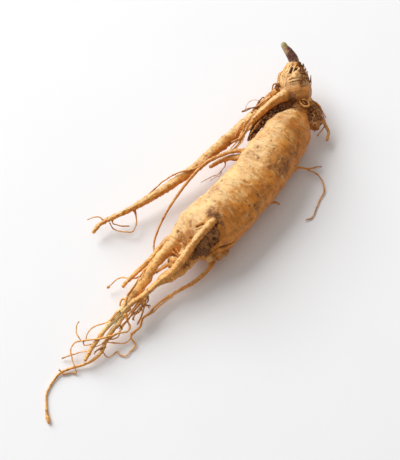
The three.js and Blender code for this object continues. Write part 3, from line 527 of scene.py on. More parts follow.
# Torn skin heaped on the curled lump, as [x, y, z, width, length, how pale]
LUMP_FLAKES = [
  [9.6, 58.6, 15.6, 2.2, 3.6, 0.25], [11.8, 57.8, 14.8, 2, 3.4, 0.4], [13.6, 56, 13.8, 2, 3.6, 0.2],
  [10.8, 55.4, 15.2, 2.2, 3.4, 0.45], [12.8, 53.8, 14.2, 2, 3.4, 0.3], [9.8, 53, 14.6, 1.8, 3, 0.15],
  [14.4, 53, 12.8, 1.8, 3.2, 0.5], [11.4, 51.8, 13.8, 2.2, 3, 0.35], [8, 59.6, 15.6, 1.8, 2.6, 0.35],
]

# The dry brown side of the long left root, above the root that crosses the shoulder
DRY_SIDE = [
  [-10.6, 60, 17.6, 3.4], [-11.8, 56.6, 18, 3.8], [-13, 52.6, 18, 3.8], [-14, 48.6, 17.6, 3.6],
  [-15, 44.6, 17, 3.2], [-16, 40.6, 16.4, 2.4], [-17.2, 37, 15.8, 1.4],
]

# The bed of bark and dry soil under those rows
BARK_BED = [
  [-1.6, 56, 15.4, 6.4], [-5.4, 51.5, 16, 6.8], [-8, 45.3, 16, 6.2], [-10.2, 39.3, 15.6, 5.4],
  [-11.2, 34.2, 14.8, 4.4], [-11.2, 30, 14.2, 3.6], [-11.5, 26.4, 13.8, 2],
]

# Rows of cracked bark in the valley between the shoulder and the root that crosses it
BARK_ROWS = [
  [
    [-5.6, 47.6, 19], [-7.4, 42.6, 18.6], [-9, 39, 18], [-10.2, 35.8, 17], [-10.8, 32.6, 16.4],
    [-11.2, 29.6, 15.8], [-11.6, 26.6, 15],
  ],
  [[-7.8, 46.4, 18.6], [-9.8, 41.6, 18.2], [-11.4, 37, 17], [-12.2, 32.6, 15.8]],
]

CROWN_FIBRES = 40  # fibres that run down from the stub
CROWN_FRONT = 24.0  # mm high, above which none of them hides the slits

# Where soil and dirt cling, as [x, y, z, reach, strength]
DIRT = [
  [-3.2, 54.6, 19.2, 6, 1], [2.4, 53, 18.3, 5, 0.5], [-6.5, 45, 18.5, 4, 0.45], [6.5, 56, 15.5, 4, 0.6],
  [-9.5, -47, 14.6, 3.5, 0.5], [-2.5, -43.5, 17.5, 4, 0.75], [-4.5, -48, 16.4, 3.5, 0.5],
  [-5.6, -24, 27.2, 3.2, 0.6], [-1.6, -23.4, 27.2, 3.4, 0.8], [1.2, -25.4, 26, 3, 0.75],
]

# Pale patches on the skin, partly its own tone and partly painted highlights, as [x, y, z, reach, strength]
PALE_AND_HIGHLIGHT_PATCHES = [
  [-1.8, 21.9, 24.9, 4.5, 0.5], [-4.4, 14.3, 23.4, 5, 0.6], [-2.3, 6.5, 24.7, 5.5, 0.7],
  [-7.5, 2, 23, 6, 0.5], [2.2, 34.5, 25, 4, 0.4], [7.2, 45.7, 21.9, 4.5, 0.5], [11.5, 42.5, 19.3, 4, 0.4],
  [10.4, 6.2, 23.7, 4, 0.35], [12.4, -3.3, 20, 3.5, 0.4], [9.6, -14.7, 21, 3.5, 0.5],
  [2.2, -7.8, 25.9, 4, 0.45], [-5.1, -12.8, 26.4, 4.5, 0.5], [-10, -20.1, 25.3, 5.5, 0.8],
  [-13.7, -26.5, 22.7, 4, 0.6], [10.7, -18.4, 17.2, 3.5, 0.35],
]

# Where the lower roots meet and are golden, as [x, y, z, reach, strength]
GOLDEN = [
  [-21, -80, 11.2, 5, 0.45], [-21.8, -84.5, 10.6, 5.5, 0.95], [-22.4, -89.5, 9.4, 6, 0.9],
  [-23, -95.5, 8.6, 6, 0.45], [-23.6, -102, 8, 6, 0.3],
]

# Where the skin is deep amber, as [x, y, z, reach, strength]. The first four, where the body curves down
# beside the front root, and the one at [-1, 41.5, 23.6], under the collar, are painted shade.
AMBER = [
  [-10.1, -36, 22.6, 4, 0.9], [-11.8, -39.6, 19, 5, 1], [-8.6, -36.6, 22.6, 3.6, 0.9],
  [-7, -41.5, 18, 4, 0.9], [0.5, -17.5, 26.2, 4.5, 0.7], [4.5, -19.5, 24.8, 4.5, 0.6],
  [3.4, -29, 23.4, 3.5, 0.6], [8, -2.5, 24, 4, 0.5], [-7.5, 58, 21, 5, 0.55], [-3.9, 57.8, 21.9, 5, 0.8],
  [-0.8, 58.8, 22.2, 5.5, 1], [1.7, 61.6, 21.2, 5, 0.9], [3.7, 61.4, 18.9, 4.5, 0.8],
  [-4.5, 61, 23, 4.5, 0.7], [-1, 62.5, 22.8, 4.5, 0.8], [3, 65, 19, 4, 0.6], [2.4, 53, 18.3, 4.5, 0.8],
  [-1, 41.5, 23.6, 5, 0.55], [-4.5, 29.5, 22.6, 5.5, 0.3], [-20, -75.4, 12.8, 4.5, 0.8],
  [-18.2, -61.8, 14.5, 3, 0.5],
]

# Where the skin is worn and brown, as [x, y, z, reach, strength]. The one at [-1.5, 41.5, 23.4], under the
# collar, is painted shade.
WORN = [
  [6.5, 14.5, 25.5, 5, 0.6], [12, 19.5, 22.5, 7.5, 1], [12.5, 28, 21, 6, 0.5], [11.1, 2.8, 22.6, 5, 0.4],
  [-4.5, -22.4, 27, 5, 1], [1.5, -25.5, 26, 4, 0.9], [-4.7, 14.8, 23.2, 5.5, 0.7],
  [-3.5, 19.5, 24, 4.5, 0.5], [-11.4, -9.5, 22.6, 4.5, 0.6], [-10.8, -31.6, 24, 4.5, 0.6],
  [-10.1, -35.5, 23, 3.6, 0.8], [-11.4, -39.3, 19, 4, 0.8], [-8.6, -36.6, 22.6, 3, 0.7],
  [11.3, -6.5, 20.8, 3.5, 0.6], [6.7, -31, 17.7, 4, 0.5], [-6, 44.5, 19.5, 5, 0.7], [2, 46, 22.5, 5, 0.2],
  [-1.5, 41.5, 23.4, 3.5, 0.3], [-20, -74.6, 12.9, 3.5, 0.6], [-18.2, -61.8, 14.5, 2.5, 0.6],
]

STEP = 0.5  # mm between the samples of a route
PER_SPAN = 24  # samples between two points of a route while it is measured
VOXEL = 0.42  # mm, of the joined trunk's mesh
COLLAR_TOP = 17  # mm along the neck, where the smooth collar ends
BEIGE_FROM = 20.5  # mm along the neck, where the crown's beige begins
DASHES = 170  # short marks across the body
FAINT_SHADE_ROOTS = ("front", "lowerLeft", "tail")  # roots that leave the trunk with only a faint line of painted shade
CLINGS = 0.9  # mm off the trunk within which a strand is laid on it
SUNK = 0.2  # how much of a laid strand's thickness is sunk in the skin
SIDE_FLARE, ROOTLET_FLARE = 0.45, 0.7  # how much wider a root gets where it leaves another
THINNER = 0.25  # mm taken off the rootlets, which the part keeps thick
NECK_MIDDLE = [-6.6, 65, 16.6]
LUMP_MIDDLE = [11, 54.5, 10.5]
PALE_SCALES = 3  # the first of the SCALES, which are the pale ones
BY_THE_CROWN = 50  # mm along the root, above which knobs are as beige as the crown
GOLDEN_KNOBS = (-45, -25)  # mm along the root, between which knobs are golden
UNFLARED = ("front", "right", "curledLump")  # roots that leave the trunk without growing wider

# How amber, how pale and how beige some of the side roots are
AMBER_ROOTS = {"crossing": 0.4, "blunt": 0.4, "besideLeftLeg": 0.3}
PALE_ROOTS = {"front": 0.5, "lowerLeft": 0.35, "tail": 0.35}
BEIGE_ROOTS = {"curledLump": 0.1, "byTheLump": 0.4}


# Repeatable noise

PRIMES = (73856093, 19349663, 83492791, 49979687)  # for a cell's three numbers and the seed
MIXER = 1274126177


def lattice(cells, seed):
    """A value from -1 to 1 for each cell of a lattice."""
    x, y, z = (cells[..., k] * PRIMES[k] for k in range(3))
    mixed = x ^ y ^ z ^ seed * PRIMES[3]
    mixed = ((mixed ^ (mixed >> 13)) * MIXER) & 0x7FFFFFFF
    return ((mixed ^ (mixed >> 15)) & 0xFFFF) / 32767.5 - 1


def noise(spots, seed=0):
    """Smooth noise from -1 to 1 with features about one unit across."""
    low = np.floor(spots).astype(np.int64)
    part = spots - low
    part = part * part * (3 - 2 * part)
    total = 0
    for corner in range(8):
        step = np.array([corner & 1, corner >> 1 & 1, corner >> 2])
        share = np.where(step, part, 1 - part).prod(-1)
        total = total + share * lattice(low + step, seed)
    return total


def layered(spots, seed=0, layers=3):
    """Noise with finer noise added on it."""
    total = sum(noise(spots * 2 ** i + 17.3 * i, seed + i) / 2 ** i for i in range(layers))
    return total / (2 - 2 ** (1 - layers))


def on_line(alongs, spacing, second, third):
    """Places along a straight line in the space of the noise."""
    return np.stack([alongs / spacing, np.full_like(alongs, second), np.full_like(alongs, third)], 1)


def smooth(low, high, value):
    part = np.clip((value - low) / (high - low), 0, 1)
    return part * part * (3 - 2 * part)


def unit(ways):
    return ways / np.maximum(np.linalg.norm(ways, axis=-1, keepdims=True), 1e-9)


def round_angles(sides):
    return np.arange(sides) * 2 * math.pi / sides


# Roots as tubes along a route

def sampled(route, step):
    """Even samples of a smooth curve through a route's points, with its width eased from point to point."""
    points = np.array([p[:3] for p in route], float)
    widths = np.array([p[3] for p in route], float)
    ends = [2 * points[0] - points[1], *points, 2 * points[-1] - points[-2]]
    t = (np.arange(PER_SPAN) / PER_SPAN)[:, None]
    fine, wide = [], []
    for i in range(len(points) - 1):
        p0, p1, p2, p3 = ends[i:i + 4]
        d0, d1, d2 = (np.linalg.norm(b - a) ** 0.5 for a, b in ((p0, p1), (p1, p2), (p2, p3)))
        out = ((p1 - p0) / d0 - (p2 - p0) / (d0 + d1) + (p2 - p1) / d1) * d1
        into = ((p2 - p1) / d1 - (p3 - p1) / (d1 + d2) + (p3 - p2) / d2) * d1
        bend = 3 * (p2 - p1) - 2 * out - into
        twist = 2 * (p1 - p2) + out + into
        fine.append(p1 + out * t + bend * t ** 2 + twist * t ** 3)
        wide.append(widths[i] + (widths[i + 1] - widths[i]) * (t[:, 0] ** 2 * (3 - 2 * t[:, 0])))
    fine = np.concatenate([*fine, points[-1:]])
    wide = np.concatenate([*wide, widths[-1:]])
    travelled = np.concatenate([[0], np.cumsum(np.linalg.norm(np.diff(fine, axis=0), axis=1))])
    alongs = np.linspace(0, travelled[-1], max(4, int(travelled[-1] / step) + 1))
    places = np.stack([np.interp(alongs, travelled, fine[:, k]) for k in range(3)], 1)
    return alongs, places, np.interp(alongs, travelled, wide)


class Tube:
    """A root: its middle line, radius, and a frame at each sample."""

    def __init__(self, route, step=STEP, domes=None, waves=(), wander=0, seed=0):
        self.alongs, self.places, widths = sampled(route, step)
        self.length = self.alongs[-1]
        if wander:
            near = np.minimum(self.alongs, 3) / 3
            for k in range(3):
                line = on_line(self.alongs, 2.6, seed * 7.7, k * 9.1)
                self.places[:, k] += wander * near * layered(line, seed + k)
        self.half = widths / 2
        self.first, self.last = domes or (self.half[0], self.half[-1])
        self.waves, self.seed = waves, seed
        self.ways = unit(np.gradient(self.places, axis=0))
        sides = []
        side = np.array([0.0, 0.0, 1.0])
        for way in self.ways:
            side = side - way * side.dot(way)
            side = side / np.linalg.norm(side)
            sides.append(side)
        self.sides = np.array(sides)
        self.across = np.cross(self.ways, self.sides)
        self.flare = np.zeros_like(self.alongs)

    def at(self, along, values):
        if values.ndim == 1:
            return np.interp(along, self.alongs, values)
        return np.stack([np.interp(along, self.alongs, values[:, k]) for k in range(3)], -1)

    def radius(self, along):
        near = np.clip(np.minimum(along / self.first, (self.length - along) / self.last), 0, 1)
        return self.at(along, self.half + self.flare) * np.sqrt(1 - (1 - near) ** 2)

    def form(self, angle, along):
        """The waves of its shape, as in the part."""
        total = np.zeros_like(angle)
        for wave in self.waves:
            turned = wave.get("turns", 0) * angle + wave["rate"] * along + wave.get("phase", 0)
            turned = turned + wave.get("sway", 0) * np.sin(angle)
            total += wave["height"] * np.sin(turned) * np.exp(-along / wave.get("fade", np.inf))
        return total

    def measure(self, spots):
        """For each spot, the distance to the surface, the way outward, the distance along and the angle."""
        near = np.concatenate([
            ((self.places ** 2).sum(1) - 2 * part @ self.places.T).argmin(1)
            for part in np.array_split(spots, max(1, len(spots) // 20000))
        ])
        offset = spots - self.places[near]
        gap = self.alongs[1]
        shift = np.clip((offset * self.ways[near]).sum(1), -gap, gap)
        along = np.clip(self.alongs[near] + shift, 0, self.length)
        offset = spots - self.at(along, self.places)
        reach = np.linalg.norm(offset, axis=1)
        angle = np.arctan2((offset * self.across[near]).sum(1), (offset * self.sides[near]).sum(1))
        slope = np.clip((self.radius(along + 0.05) - self.radius(along - 0.05)) / 0.1, -3, 3)
        radius = self.radius(along)
        lean = np.sqrt(1 + slope ** 2)
        distance = (reach - radius - self.form(angle, along) * np.minimum(1, radius)) / lean
        outward = unit(offset / np.maximum(reach, 1e-6)[:, None] - self.ways[near] * slope[:, None])
        return distance, outward, along, angle


def merged(spots, tubes):
    """The smooth union of (tube, fillet) pairs: distance, outward way, and each one's share and measures."""
    shares, measures = [], []
    best = outward = None
    for tube, fillet in tubes:
        distance, out, along, angle = tube.measure(spots)
        measures.append((along, angle))
        if best is None:
            best, outward, shares = distance, out, [np.ones(len(spots))]
            continue
        near = np.clip(1 - abs(distance - best) / fillet, 0, 1)
        share = np.where(distance < best, 1 - near / 2, near / 2)
        best = np.minimum(best, distance) - near ** 2 * fillet / 4
        outward = outward * (1 - share)[:, None] + out * share[:, None]
        shares = [s * (1 - share) for s in shares] + [share]
    return best, unit(outward), shares, measures


# Meshes

KEY_LIGHT_SIDE = unit(np.array([-0.75, 0.25, 0.6]))  # the way the key light comes from: skin facing it is painted lighter, skin facing away darker


def mesh_object(name, verts, faces, marks=None):
    """An object from places in mm, with a number or a place for each vertex under each name in marks."""
    mesh = bpy.data.meshes.new(name)
    mesh.from_pydata((np.asarray(verts) * MM).tolist(), [], faces)
    for mark, values in (marks or {}).items():
        values = np.asarray(values, np.float32)
        if values.ndim == 2:
            mesh.attributes.new(mark, "FLOAT_VECTOR", "POINT").data.foreach_set("vector", values.ravel())
        else:
            mesh.attributes.new(mark, "FLOAT", "POINT").data.foreach_set("value", values)
    mesh.shade_smooth()
    mesh.update()
    # Painted light: every mesh also gets a lit side mark, how far each vertex faces the key light, which the
    # paints use for painted highlight and painted shade.
    normals = np.empty(len(mesh.vertices) * 3, np.float32)
    mesh.vertices.foreach_get("normal", normals)
    lit_side = smooth(0, 1, normals.reshape(-1, 3) @ KEY_LIGHT_SIDE)
    mesh.attributes.new("lit_side", "FLOAT", "POINT").data.foreach_set("value", lit_side.astype(np.float32))
    made = bpy.data.objects.new(name, mesh)
    bpy.context.scene.collection.objects.link(made)
    return made


def tube_grid(tube, sides, step):
    """Rows of places round a tube, closed at both ends, with the distance along and angle of each."""
    rows = max(3, int(round((tube.length - tube.first - tube.last) / step)))
    turn = np.linspace(0, math.pi / 2, max(3, sides // 5))[1:]
    ends = 1 - np.cos(turn)
    alongs = np.concatenate([
        tube.first * ends[:-1],
        np.linspace(tube.first, tube.length - tube.last, rows),
        tube.length - tube.last * ends[:-1][::-1],
    ])
    along, angle = np.meshgrid(alongs, round_angles(sides), indexing="ij")
    return along.ravel(), angle.ravel(), len(alongs)


def tube_faces(rows, sides, start=0):
    """Faces between the rows, and fans to a place before the first row and one after the last."""
    faces = []
    for row in range(rows - 1):
        for side in range(sides):
            a = start + row * sides + side
            b = start + row * sides + (side + 1) % sides
            faces.append((a, b, b + sides, a + sides))
    low, high = start + rows * sides, start + rows * sides + 1
    last = start + (rows - 1) * sides
    for side in range(sides):
        after = (side + 1) % sides
        faces.append((low, start + after, start + side))
        faces.append((high, last + side, last + after))
    return faces


def tube_mesh(tube, sides, step, relief=None, flat=1.0):
    """A tube's places, faces, distance along, relief and straightened places. flat squeezes its sides."""
    along, angle, rows = tube_grid(tube, sides, step)
    radius = tube.radius(along)
    rise = relief(tube, along, angle, radius) if relief else np.zeros_like(along)
    out = radius + (tube.form(angle, along) + rise) * np.minimum(1, radius)
    side, across = tube.at(along, tube.sides), tube.at(along, tube.across)
    verts = tube.at(along, tube.places) + side * (flat * out * np.cos(angle))[:, None]
    verts = verts + across * (out * np.sin(angle))[:, None]
    verts = np.concatenate([verts, tube.places[:1], tube.places[-1:]])
    straight = np.stack([along + 40 * tube.seed, radius * np.cos(angle), radius * np.sin(angle)], 1)
    straight = np.concatenate([straight, straight[:1], straight[-1:]])
    along = np.concatenate([along, [0, tube.length]])
    rise = np.concatenate([rise, [0, 0]])
    return verts, tube_faces(rows, sides), along, rise, straight


def whole(value, count):
    return value if np.ndim(value) else np.full(count, float(value))


def joined(parts):
    """Several (places, faces, marks) as one.

    A mark is a value for each place or one number for the whole part, and 0 in a part that lacks it.
    """
    faces, start = [], 0
    for verts, part_faces, _ in parts:
        faces += [tuple(corner + start for corner in face) for face in part_faces]
        start += len(verts)
    names = dict.fromkeys(name for *_, marks in parts for name in marks)
    marks = {
        name: np.concatenate([whole(marks.get(name, 0), len(verts)) for verts, _, marks in parts])
        for name in names
    }
    return np.concatenate([verts for verts, *_ in parts]), faces, marks


# Relief of the skin

def round_spots(along, angle, spacing, turns, seed):
    """Places where noise makes rings: spacing is their distance apart, turns how broken they are."""
    across, up = turns * np.cos(angle) + seed * 3.1, turns * np.sin(angle) + seed * 5.7
    return np.stack([along / spacing, across, up], 1)


def round_noise(along, angle, spacing, turns, seed):
    return noise(round_spots(along, angle, spacing, turns, seed), seed)


def ringed(along, angle, spacing, turns, seed):
    """Ring wrinkles: narrow grooves between broad rounds, from -1 to 1."""
    value = round_noise(along, angle, spacing, turns, seed)
    return 1 - 2 * np.abs(value) ** 0.7


def body_relief(along, angle, spots):
    shoulder = np.exp(-along / 20)
    rings = 0.08 * ringed(along, angle, 2.3, 1.3, 1) * (0.5 + 1.2 * shoulder)
    rings = rings + 0.11 * round_noise(along, angle, 1.1, 1.6, 2) * (0.5 + 0.8 * shoulder)
    rings = rings + 0.12 * round_noise(along, angle, 4.5, 1.1, 3)
    lumps = 0.2 * noise(spots / 8, 4) + 0.12 * layered(spots / 2.6, 5)
    return rings + lumps


def neck_relief(along, angle, spots):
    above = smooth(COLLAR_TOP - 1, COLLAR_TOP + 2, along)
    fibres = 0.34 * round_noise(along, angle, 8, 3.4, 6) + 0.2 * round_noise(along, angle, 5, 7, 7)
    return above * fibres + 0.22 * noise(spots / 4, 8) + (0.06 + 0.08 * above) * layered(spots / 1.3, 9)


def leg_relief(along, angle, spots):
    rings = 0.13 * ringed(along, angle, 1.7, 0.7, 10) + 0.12 * round_noise(along, angle, 0.9, 1.1, 11)
    ridges = 0.1 * round_noise(along, angle, 16, 2.2, 12)
    return rings + ridges + 0.1 * noise(spots / 3.5, 13)


def root_relief(tube, along, angle, radius):
    """Ring wrinkles and lengthwise ridges of a side root, in proportion to how thick it is."""
    seed = 20 + tube.seed
    thin = smooth(2.2, 1.0, radius)
    fine = noise(round_spots(along, angle, 0.8, 1.3, seed + 1), seed)
    rings = 0.08 * ringed(along, angle, 1.2, 0.7, seed) + 0.06 * fine
    ridges = 0.1 * round_noise(along, angle, 14, 1.9, seed + 2)
    knobs = 0.14 * smooth(0.35, 0.8, round_noise(along, angle, 2.2, 1.2, seed + 3))
    return (rings * (1 + 1.2 * thin) + ridges + knobs * (1 + 0.8 * thin)) * radius


def dashes(along, angle, radius):
    """Short dark and pale dashes across the body: how strong each kind is at a place."""
    rng = np.random.default_rng(11)
    dark, pale = np.zeros(len(along)), np.zeros(len(along))
    for i in range(DASHES):
        middle, turn = rng.uniform(2, 86), rng.uniform(-math.pi, math.pi)
        width, length = rng.uniform(0.25, 0.5), rng.uniform(0.6, 2.2)
        round_gap = radius * np.angle(np.exp(1j * (angle - turn)))
        slant = along - middle - rng.uniform(-0.25, 0.25) * round_gap
        strength = rng.uniform(0.4, 1) * np.exp(-(slant / width) ** 2 - (round_gap / length) ** 2)
        if i % 2:
            dark = np.maximum(dark, strength)
        else:
            pale = np.maximum(pale, strength)
    return dark, pale


def line_gap(spots, start, end):
    """How far each spot is from a straight line."""
    start, end = np.array(start), np.array(end)
    share = np.clip((spots - start) @ (end - start) / ((end - start) ** 2).sum(), 0, 1)
    return np.linalg.norm(spots - start - share[:, None] * (end - start), axis=1)


def mark_relief(spots):
    """Knobs, scars, pits, cuts and scratches: how far they move the skin, how dark and how pale they are."""
    rise, dark, pale = np.zeros(len(spots)), np.zeros(len(spots)), np.zeros(len(spots))
    for x, y, z, size, height in SPOTS:
        gap = np.linalg.norm(spots - [x, y, z], axis=1)
        rise += height * np.exp(-(gap / size) ** 2)
        dark = np.maximum(dark, np.exp(-(gap / (size * 1.1)) ** 2) * (0.9 if height < 0 else 0.45))
    for start, end, width, depth in CUTS:
        near = np.exp(-(line_gap(spots, start, end) / width) ** 2)
        rise -= depth * near
        dark = np.maximum(dark, near * min(1, 1.1 * depth))
    for start, end, width in SCRATCHES:
        near = np.exp(-(line_gap(spots, start, end) / width) ** 2)
        rise += 0.12 * near
        pale = np.maximum(pale, near)
    return rise, dark, pale


def scar_frame():
    outward = unit(SCAR_OUTWARD)
    along = unit(SCAR_ALONG - outward * SCAR_ALONG.dot(outward))
    return np.stack([np.cross(along, outward), along, outward])


def scar_share(local):
    """How far out in the scar a place is, from 0 in its middle to 1 at its rim."""
    flat = local[:, :2] / [SCAR["width"] / 2, SCAR["length"] / 2]
    away = np.linalg.norm(flat, axis=1)
    rim = 1 + SCAR_WAVE * np.sin(3 * np.arctan2(flat[:, 1], flat[:, 0]) + 1)
    return away / rim


def scar_fade(turn):
    """How far the soil thins out towards the scar's upper right."""
    return smooth(0.1, 0.7, np.cos(turn - 0.6))


def carve_scar(verts):
    """Presses the scar into the trunk and returns how deep in soil each place is."""
    axes = scar_frame()
    local = (verts - SCAR_MIDDLE) @ axes.T
    share = scar_share(local)
    floor = -SCAR["depth"] * np.sqrt(np.clip(1 - share ** 2, 0, 1))
    inside = (share < 1) & (np.abs(local[:, 2]) < NEAR_SCAR)
    local[:, 2] = np.where(inside, np.minimum(local[:, 2], floor), local[:, 2])
    near = np.where(np.abs(local[:, 2]) < NEAR_SCAR, 1 - smooth(0.95, 1.45, share), 0)
    thinning = 1 - 0.85 * scar_fade(np.arctan2(local[:, 1], local[:, 0]))
    return SCAR_MIDDLE + local @ axes, near * thinning


def spread(verts, spots):
    """How strongly dirt or wear is at each place."""
    total = np.zeros(len(verts))
    for x, y, z, reach, strength in spots:
        gap = np.linalg.norm(verts - [x, y, z], axis=1)
        total = np.maximum(total, strength * (1 - smooth(0.35, 1, gap / reach)))
    return total


# The skin's material reads these marks at each place. hollow is how high the relief stands, from -1
# to 1; the paint makes its ridges paler where lit, as painted highlight, and its grooves browner, as
# painted shade. soil, dark, pale, scratch and highlight, worn, amber and crown are how much of each there
# is: dark also holds painted shade where side roots touch the trunk, the scratch and highlight mark also
# holds pale patches that are partly painted highlights, and some amber and worn places are painted shade.
# thin is how thin the root is. straight is the place with the root laid straight, for noise that
# follows it. The lit side, which every mesh gets, is painted light: how far the skin faces the key light.

# The trunk: body, neck and legs grown together

BODY_TUBE = Tube(BODY, domes=(SHOULDER_ROUNDING, LOWER_ROUNDING), waves=BODY_WAVES)
NECK_TUBE = Tube(NECK, waves=NECK_WAVES)
LEG_TUBES = [Tube(route, waves=LEG_WAVES) for route in LEGS]
CROWN_TUBE = Tube(CROWN_SIDE)
TRUNK = [(BODY_TUBE, 1), (NECK_TUBE, 3), (LEG_TUBES[0], 5), (LEG_TUBES[1], 3), (CROWN_TUBE, 4)]
SIDE_TUBES = {
    name: Tube(route, waves=LUMP_WAVES if name == "curledLump" else (), seed=i)
    for i, (name, route) in enumerate(SIDE_ROOTS.items())
}


def voxel_mesh(parts, size):
    """One closed skin round several closed meshes."""
    verts, faces, _ = joined(parts)
    rough = mesh_object("rough", verts, faces)
    remesh = rough.modifiers.new("remesh", "REMESH")
    remesh.mode = "VOXEL"
    remesh.voxel_size = size * MM
    graph = bpy.context.evaluated_depsgraph_get()
    made = bpy.data.meshes.new_from_object(rough.evaluated_get(graph))
    places = np.empty(len(made.vertices) * 3, np.float32)
    made.vertices.foreach_get("co", places)
    places = places.reshape(-1, 3).astype(float) / MM
    polygons = [tuple(p.vertices) for p in made.polygons]
    bpy.data.objects.remove(rough)
    bpy.data.meshes.remove(made)
    return places, polygons


def relaxed(verts, edges, share):
    """Each place moved part of the way to the middle of its neighbours."""
    total, count = np.zeros_like(verts), np.zeros(len(verts))
    for a, b in ((0, 1), (1, 0)):
        np.add.at(total, edges[:, a], verts[edges[:, b]])
        np.add.at(count, edges[:, a], 1)
    return verts + share * (total / np.maximum(count, 1)[:, None] - verts)


def edges_of(faces):
    pairs = np.array([(f[i], f[(i + 1) % len(f)]) for f in faces for i in range(len(f))])
    return np.unique(np.sort(pairs, axis=1), axis=0)


def make_trunk():
    parts = []
    for tube, _ in TRUNK:
        verts, faces, *_ = tube_mesh(tube, 48, 1.2)
        parts.append((verts, faces, {}))
    verts, faces = voxel_mesh(parts, VOXEL)
    edges = edges_of(faces)
    for _ in range(3):
        distance, outward, *_ = merged(verts, TRUNK)
        verts = verts - outward * distance[:, None]
        verts = relaxed(verts, edges, 0.4)
    distance, outward, shares, measures = merged(verts, TRUNK)
    verts = verts - outward * distance[:, None]
    reliefs = [body_relief, neck_relief, leg_relief, leg_relief, leg_relief]
    rise = sum(s * relief(*m, verts) for s, relief, m in zip(shares, reliefs, measures))
    marks_rise, dark, scratched = mark_relief(verts)
    dark_dash, pale_dash = (shares[0] * dash for dash in dashes(*measures[0], BODY_WIDTH / 2))
    worn = spread(verts, WORN)
    grains = layered(verts / 1.0, 30)
    rise = rise + worn * (0.34 * grains + 0.12 * noise(verts / 2.4, 31))
    dark = np.maximum(dark, worn * 0.6 * smooth(-0.05, -0.35, grains))
    # Pale patches: partly the skin's own tone and partly painted highlights.
    pale_and_highlight = 0.75 * spread(verts, PALE_AND_HIGHLIGHT_PATCHES) * smooth(-0.35, 0.5, layered(verts / 3.2, 33))
    pale_and_highlight = pale_and_highlight * (1 - 0.7 * worn)
    grown = verts + outward * (rise + marks_rise + 0.08 * pale_dash - 0.16 * dark_dash)[:, None]
    grown, soil = carve_scar(grown)
    # Painted shade: the trunk is darkened where a side root lies close to it.
    contact_shade = np.zeros(len(grown))
    for name, tube in SIDE_TUBES.items():
        strength = 0.25 if name in FAINT_SHADE_ROOTS else 1
        contact_shade = np.maximum(contact_shade, strength * np.exp(-np.clip(tube.measure(grown)[0], 0, None) / 0.5))
    grown[:, 2] = np.maximum(grown[:, 2], 0)
    most = np.argmax(shares, axis=0)
    straight = np.zeros_like(grown)
    for i, ((tube, _), (along, angle)) in enumerate(zip(TRUNK, measures)):
        radius = tube.radius(along)
        placed = np.stack([along - 60 * i, radius * np.cos(angle), radius * np.sin(angle)], 1)
        straight = np.where((most == i)[:, None], placed, straight)
    neck_along = measures[1][0]
    collar = 1 - smooth(COLLAR_TOP - 2, COLLAR_TOP + 1, neck_along)
    beige = 0.1 + 0.9 * smooth(BEIGE_FROM - 1.5, BEIGE_FROM + 1.5, neck_along)
    marks = {
        "hollow": np.clip(rise / 0.3, -1, 1),
        "soil": np.clip(np.maximum(soil, spread(grown, DIRT)), 0, 1),
        # dark holds cuts, pits and dashes, and the painted shade where side roots touch.
        "dark": np.clip(np.maximum(np.maximum(dark, 0.75 * dark_dash), 0.5 * contact_shade), 0, 1),
        "pale": 0.5 * shares[2] + 0.35 * shares[3],
        "scratch": np.max([0.3 * pale_dash, 0.55 * scratched, pale_and_highlight, spread(grown, GOLDEN)], axis=0),
        "worn": np.maximum(worn, 0.35 * shares[1] * collar),
        "amber": spread(grown, AMBER) * smooth(-0.6, 0.2, layered(verts / 2.8, 34)),
        "crown": shares[1] * beige + shares[4],
        "straight": straight,
    }
    return mesh_object("trunk_skin", grown, faces, marks)


def flared(tube, parents, amount):
    """Widens a tube where it leaves the roots that it grew from."""
    gap = np.min([parent.measure(tube.places)[0] for parent in parents], axis=0)
    leaves = np.argmax(gap > 0)
    reach = 1.5 * tube.half[leaves]
    tube.flare = amount * tube.half * np.exp(-abs(tube.alongs - tube.alongs[leaves]) / reach)
    return tube


def make_side_roots():
    trunk = [tube for tube, _ in TRUNK]
    parts = []
    for name, tube in SIDE_TUBES.items():
        flared(tube, trunk, 0 if name in UNFLARED else SIDE_FLARE)
        curled = name == "curledLump"
        width = 2 * tube.half.max()
        sides = int(np.clip(width * math.pi / 0.36, 12, 48))
        verts, faces, along, rise, straight = tube_mesh(tube, sides, 0.4 if width > 2 else 0.5, root_relief)
        verts[:, 2] = np.maximum(verts[:, 2], 0)
        half = tube.at(along, tube.half)
        folds = layered(verts / 1.7, 350)
        marks = {
            "hollow": np.clip(rise / (0.18 * half), -1, 1),
            "soil": spread(verts, DIRT) * 0.6,
            "dark": np.maximum(
                0.6 * (1 - smooth(0.5, 2.6, half)) * smooth(0.3, 0.6, layered(verts / 1.6, 351)),
                0.85 * curled * smooth(0.1, -0.45, folds),
            ),
            "amber": AMBER_ROOTS.get(name, 0),
            "pale": PALE_ROOTS.get(name, 0.15),
            "worn": 0.6 * curled,
            "crown": BEIGE_ROOTS.get(name, 0),
            "scratch": np.maximum(spread(verts, GOLDEN), curled * 0.35 * smooth(0.25, 0.6, folds)),
            "thin": 1 - smooth(0.5, 2.6, half),
            "straight": straight,
        }
        parts.append((verts, faces, marks))
    return mesh_object("side_roots", *joined(parts))


def uneven(tube, share, seed):
    """Makes a thin root thicker and thinner along its length."""
    tube.half = tube.half * (1 + share * noise(on_line(tube.alongs, 1.3, seed * 3.3, 0), 50))
    return tube


